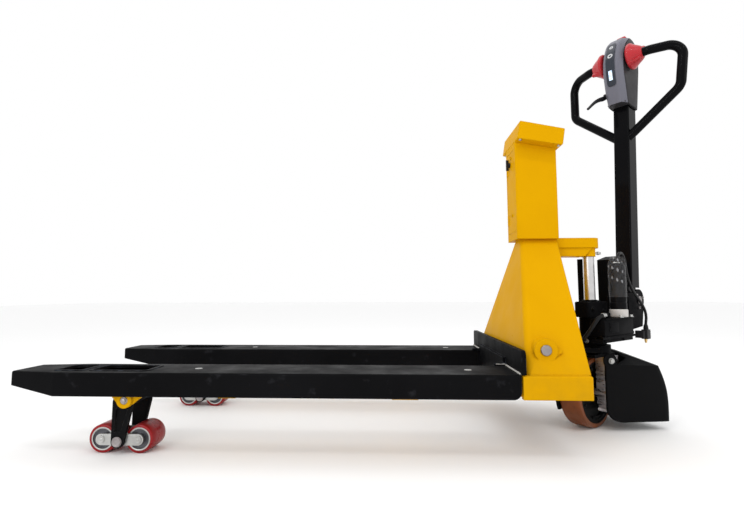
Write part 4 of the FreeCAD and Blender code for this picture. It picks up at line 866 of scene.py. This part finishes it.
def add_lines():
    for name, path, radius, slot, node in (("hose_line", HOSE, 5.0, "hose_rubber", "hydraulic_hose"),
                                           ("cable_line", CABLE, 4.0, "cable_rubber", "power_cable")):
        line = dressed(tube(name, path, radius, UNIT), "power_unit", slot, None, TUBE_ANGLE)
        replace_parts(line, node)
    work = turned(bmesh.new(), [(0, 0), (0, 6.2), (14, 6.4), (15, 5.6), (16, 5.1)],
                  (-43, -60, 314), (-1, 0, 0), 32)
    turned(work, [(0, 0), (0, 6.2), (13, 6.4), (14, 5.6), (15, 5.1)], (-38, -4, 241), (-1, 0, 0), 32)
    bolt(work, (-37, -4, 241), (-1, 0, 0), 14, 4)
    piece("hose_ferrules", work, "power_unit", "zinc_steel", UNIT)
    work = turned(bmesh.new(), [(0, 4.1), (0, 7), (3, 7.2), (12, 6.0), (16, 4.6), (17, 4.1)],
                  (250, -46, 261), UP, 32)
    turned(work, [(0, 4.1), (0, 6), (10, 5.2), (13, 4.2)], (76, -48, 467), UP, 32)
    piece("cable_boots", work, "power_unit", "cable_rubber", UNIT)
    work = block(bmesh.new(), (236.6, -54.6, 232.6), (261.4, -37.4, 261.4))
    for z in (240, 247, 254):
        block(work, (236.0, -55.2, z), (262.0, -36.8, z + 2.2))
    block(work, (224, -49, 236), (237, -24.3, 258))
    plug = piece("connector_shell", work, "power_unit", "connector_grey", UNIT, bevel=1.2)
    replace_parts(plug, "power_connector")
    work = turned(bmesh.new(), [(0, 0), (0, 4.2), (6, 4.2), (7, 3.2), (12, 3.0), (12.6, 0)],
                  (246, -46, 233), (0, 0, -1), 24)
    piece("connector_tip", work, "power_unit", "connector_grey", UNIT, EXTRA["brass"])


# ---- chassis trim ------------------------------------------------------------------------------
WELD_PITCH, WELD_WOBBLE, WELD_SIDES = 3.2, 0.35, 12
# name, the two ends on the side of positive y, radius, look and slot of each bead on the chassis
WELDS = (
    ("heel", (1186, 156, 194), (1186, 282, 194), 2.6, EXTRA["weld"], "platform_black"),
    ("rib", (1160, 154, 196), (1186, 154, 196), 2.2, EXTRA["weld"], "platform_black"),
    ("tower_front", (1203, 20, 191), (1203, 262, 191), 2.6, LOOKS["chassis_yellow"], "chassis_yellow"),
    ("tower_side", (1206, 277, 191), (1336, 277, 191), 2.4, LOOKS["chassis_yellow"], "chassis_yellow"),
    ("arm", (1367, 27, 504), (1367, 27, 528), 2.2, LOOKS["chassis_yellow"], "chassis_yellow"),
    ("arm_web", (1365, 23, 480), (1366, 23, 501), 2.0, LOOKS["chassis_yellow"], "chassis_yellow"),
)
SHAFT_FACE = ((257.6, 0), (257.6, 11.4), (259.0, 11.6), (259.6, 11.0), (259.4, 3.2), (258.4, 2.8),
              (258.4, 0))
INDICATOR_PLACE = (1.317, 0, 0.817)
INDICATOR_TILT = math.atan2(25, 122)
KEY_FOOT, KEY_TOP = 23.0, 25.4
HINGE_CAP = ((33.1, 0), (33.1, 12.2), (34.8, 12.6), (36.6, 11.8), (36.9, 9.2))
HINGE_SCREWS = 24


def weld(name, start, end, radius, body, look, slot, place):
    """Rippled bead between two points."""
    start, end = Vector(start), Vector(end)
    length = (end - start).length
    steps = max(int(length / WELD_PITCH * 4), 8)
    along = (end - start).normalized()
    side = along.orthogonal().normalized()
    other = along.cross(side)
    work = bmesh.new()
    rows = []
    for i in range(steps + 1):
        t = length * i / steps
        size = radius * (1 + WELD_WOBBLE * 0.45 * math.sin(2 * math.pi * t / WELD_PITCH)
                         + 0.12 * math.sin(t * 0.37))
        if i in (0, steps):
            size *= 0.3
        rows.append([work.verts.new(start + along * t + (side * math.cos(a) + other * math.sin(a)) * size)
                     for a in [2 * math.pi * k / WELD_SIDES for k in range(WELD_SIDES)]])
    skin(work, rows, closed=True)
    piece(name, work, body, slot, place, look, angle=80)


def add_welds():
    for side, tag in ((-1, "near"), (1, "far")):
        for name, start, end, radius, look, slot in WELDS:
            ends = [(x, side * y, z) for x, y, z in (start, end)]
            weld("weld_%s_%s" % (name, tag), *ends, radius, "chassis", look, slot, TRUCK)
        weld("weld_handle_" + tag, (-12, side * 25, 566), (14, side * 25, 566), 2.0, "tiller",
             LOOKS["mast_black"], "mast_black", TILLER)
    work = bmesh.new()
    for side in (-1, 1):
        turned(work, SHAFT_FACE, ROCKER_AXIS, (0, side, 0), 56)
    piece("shaft_faces", work, "chassis", "shaft_steel", TRUCK)


def add_door_trim():
    work = bmesh.new()
    for z in (590, 740):
        for k in range(3):
            turned(work, [(0, 0), (0, 4.2), (9.4, 4.2), (9.4, 0)], (1254.4, 36.2, z + 10 * k - 15), UP, 20)
    piece("door_hinges", work, "chassis", "zinc_steel", TRUCK, LOOKS["chassis_yellow"])
    work = block(bmesh.new(), (1242.4, 5.6, 737), (1249.2, 10.4, 767))
    for vert in work.verts:
        if vert.co.x < 1245:
            vert.co.y = 8 + (vert.co.y - 8) * 0.65
    piece("latch_wing", work, "door_latch", "control_black", TRUCK, bevel=1.6, smooth=1, angle=60)
    work = turned(bmesh.new(), [(-2, 0), (-2, 7.5), (2.2, 7.5), (3.4, 6.4), (3.4, 0)],
                  (1251.6, 8, 752), (-1, 0, 0), 40)
    piece("latch_boss", work, "door_latch", "control_black", TRUCK)


def add_indicator():
    top = TRUCK @ Matrix.Translation(INDICATOR_PLACE) @ Matrix.Rotation(INDICATOR_TILT, 4, "Y")
    work = bmesh.new()
    for k in range(6):
        block(work, (7, -45 + 16 * k, KEY_FOOT), (18, -35 + 16 * k, KEY_TOP))
    for k in range(5):
        block(work, (24, -40 + 18 * k, KEY_FOOT), (34, -28 + 18 * k, KEY_TOP))
    piece("indicator_keys", work, "chassis", "control_black", top, EXTRA["button_grey"],
          bevel=1.6, smooth=1, angle=60)
    work = block(bmesh.new(), (-36.2, -45, 22.2), (0.4, 45, 23.4))
    piece("indicator_lens", work, "chassis", "control_black", top, EXTRA["screen"], bevel=0.5)


def add_unit_trim():
    work = bmesh.new()
    bolt(work, (-10.1, -56.4, 190), (-0.5355, -0.8445, 0), 11, 5, 8)
    piece("cover_bolt", work, "power_unit", "zinc_steel", UNIT)
    work = bmesh.new()
    for side in (-1, 1):
        turned(work, HINGE_CAP, HINGE / MM, (0, side, 0), 40)
        for angle in (20, 140, 260):
            spot = Vector((HINGE_SCREWS * math.cos(math.radians(angle)), side * 33,
                           HINGE_SCREWS * math.sin(math.radians(angle))))
            socket_screw(work, HINGE / MM + spot, (0, side, 0), 4.2, 3.4)
    piece("hinge_hardware", work, "power_unit", "shaft_steel", UNIT)
    work = bmesh.new()
    for z in (276, 300, 324, 348):
        block(work, (206.5, -12, z), (208.5, 12, z + 10))
    piece("bracket_louvres", work, "power_unit", "unit_black", UNIT, bevel=0.6)
    work = bmesh.new()
    for x, y in ((-36, -26), (56, -44), (150, -22), (150, 22), (196, 0)):
        bolt(work, (x, y, 258), UP, 9, 4.5, 7)
    piece("flange_bolts", work, "power_unit", "zinc_steel", UNIT)


def main():
    add_camera()
    add_stage()
    dress_nodes()
    add_head()
    add_panel()
    add_buttons()
    add_knobs()
    add_lever()
    add_rollers()
    add_bogie_trim()
    add_drive_wheel()
    add_casing_trim()
    add_motor()
    add_pump()
    add_film()
    add_lines()
    add_welds()
    add_door_trim()
    add_indicator()
    add_unit_trim()


main()
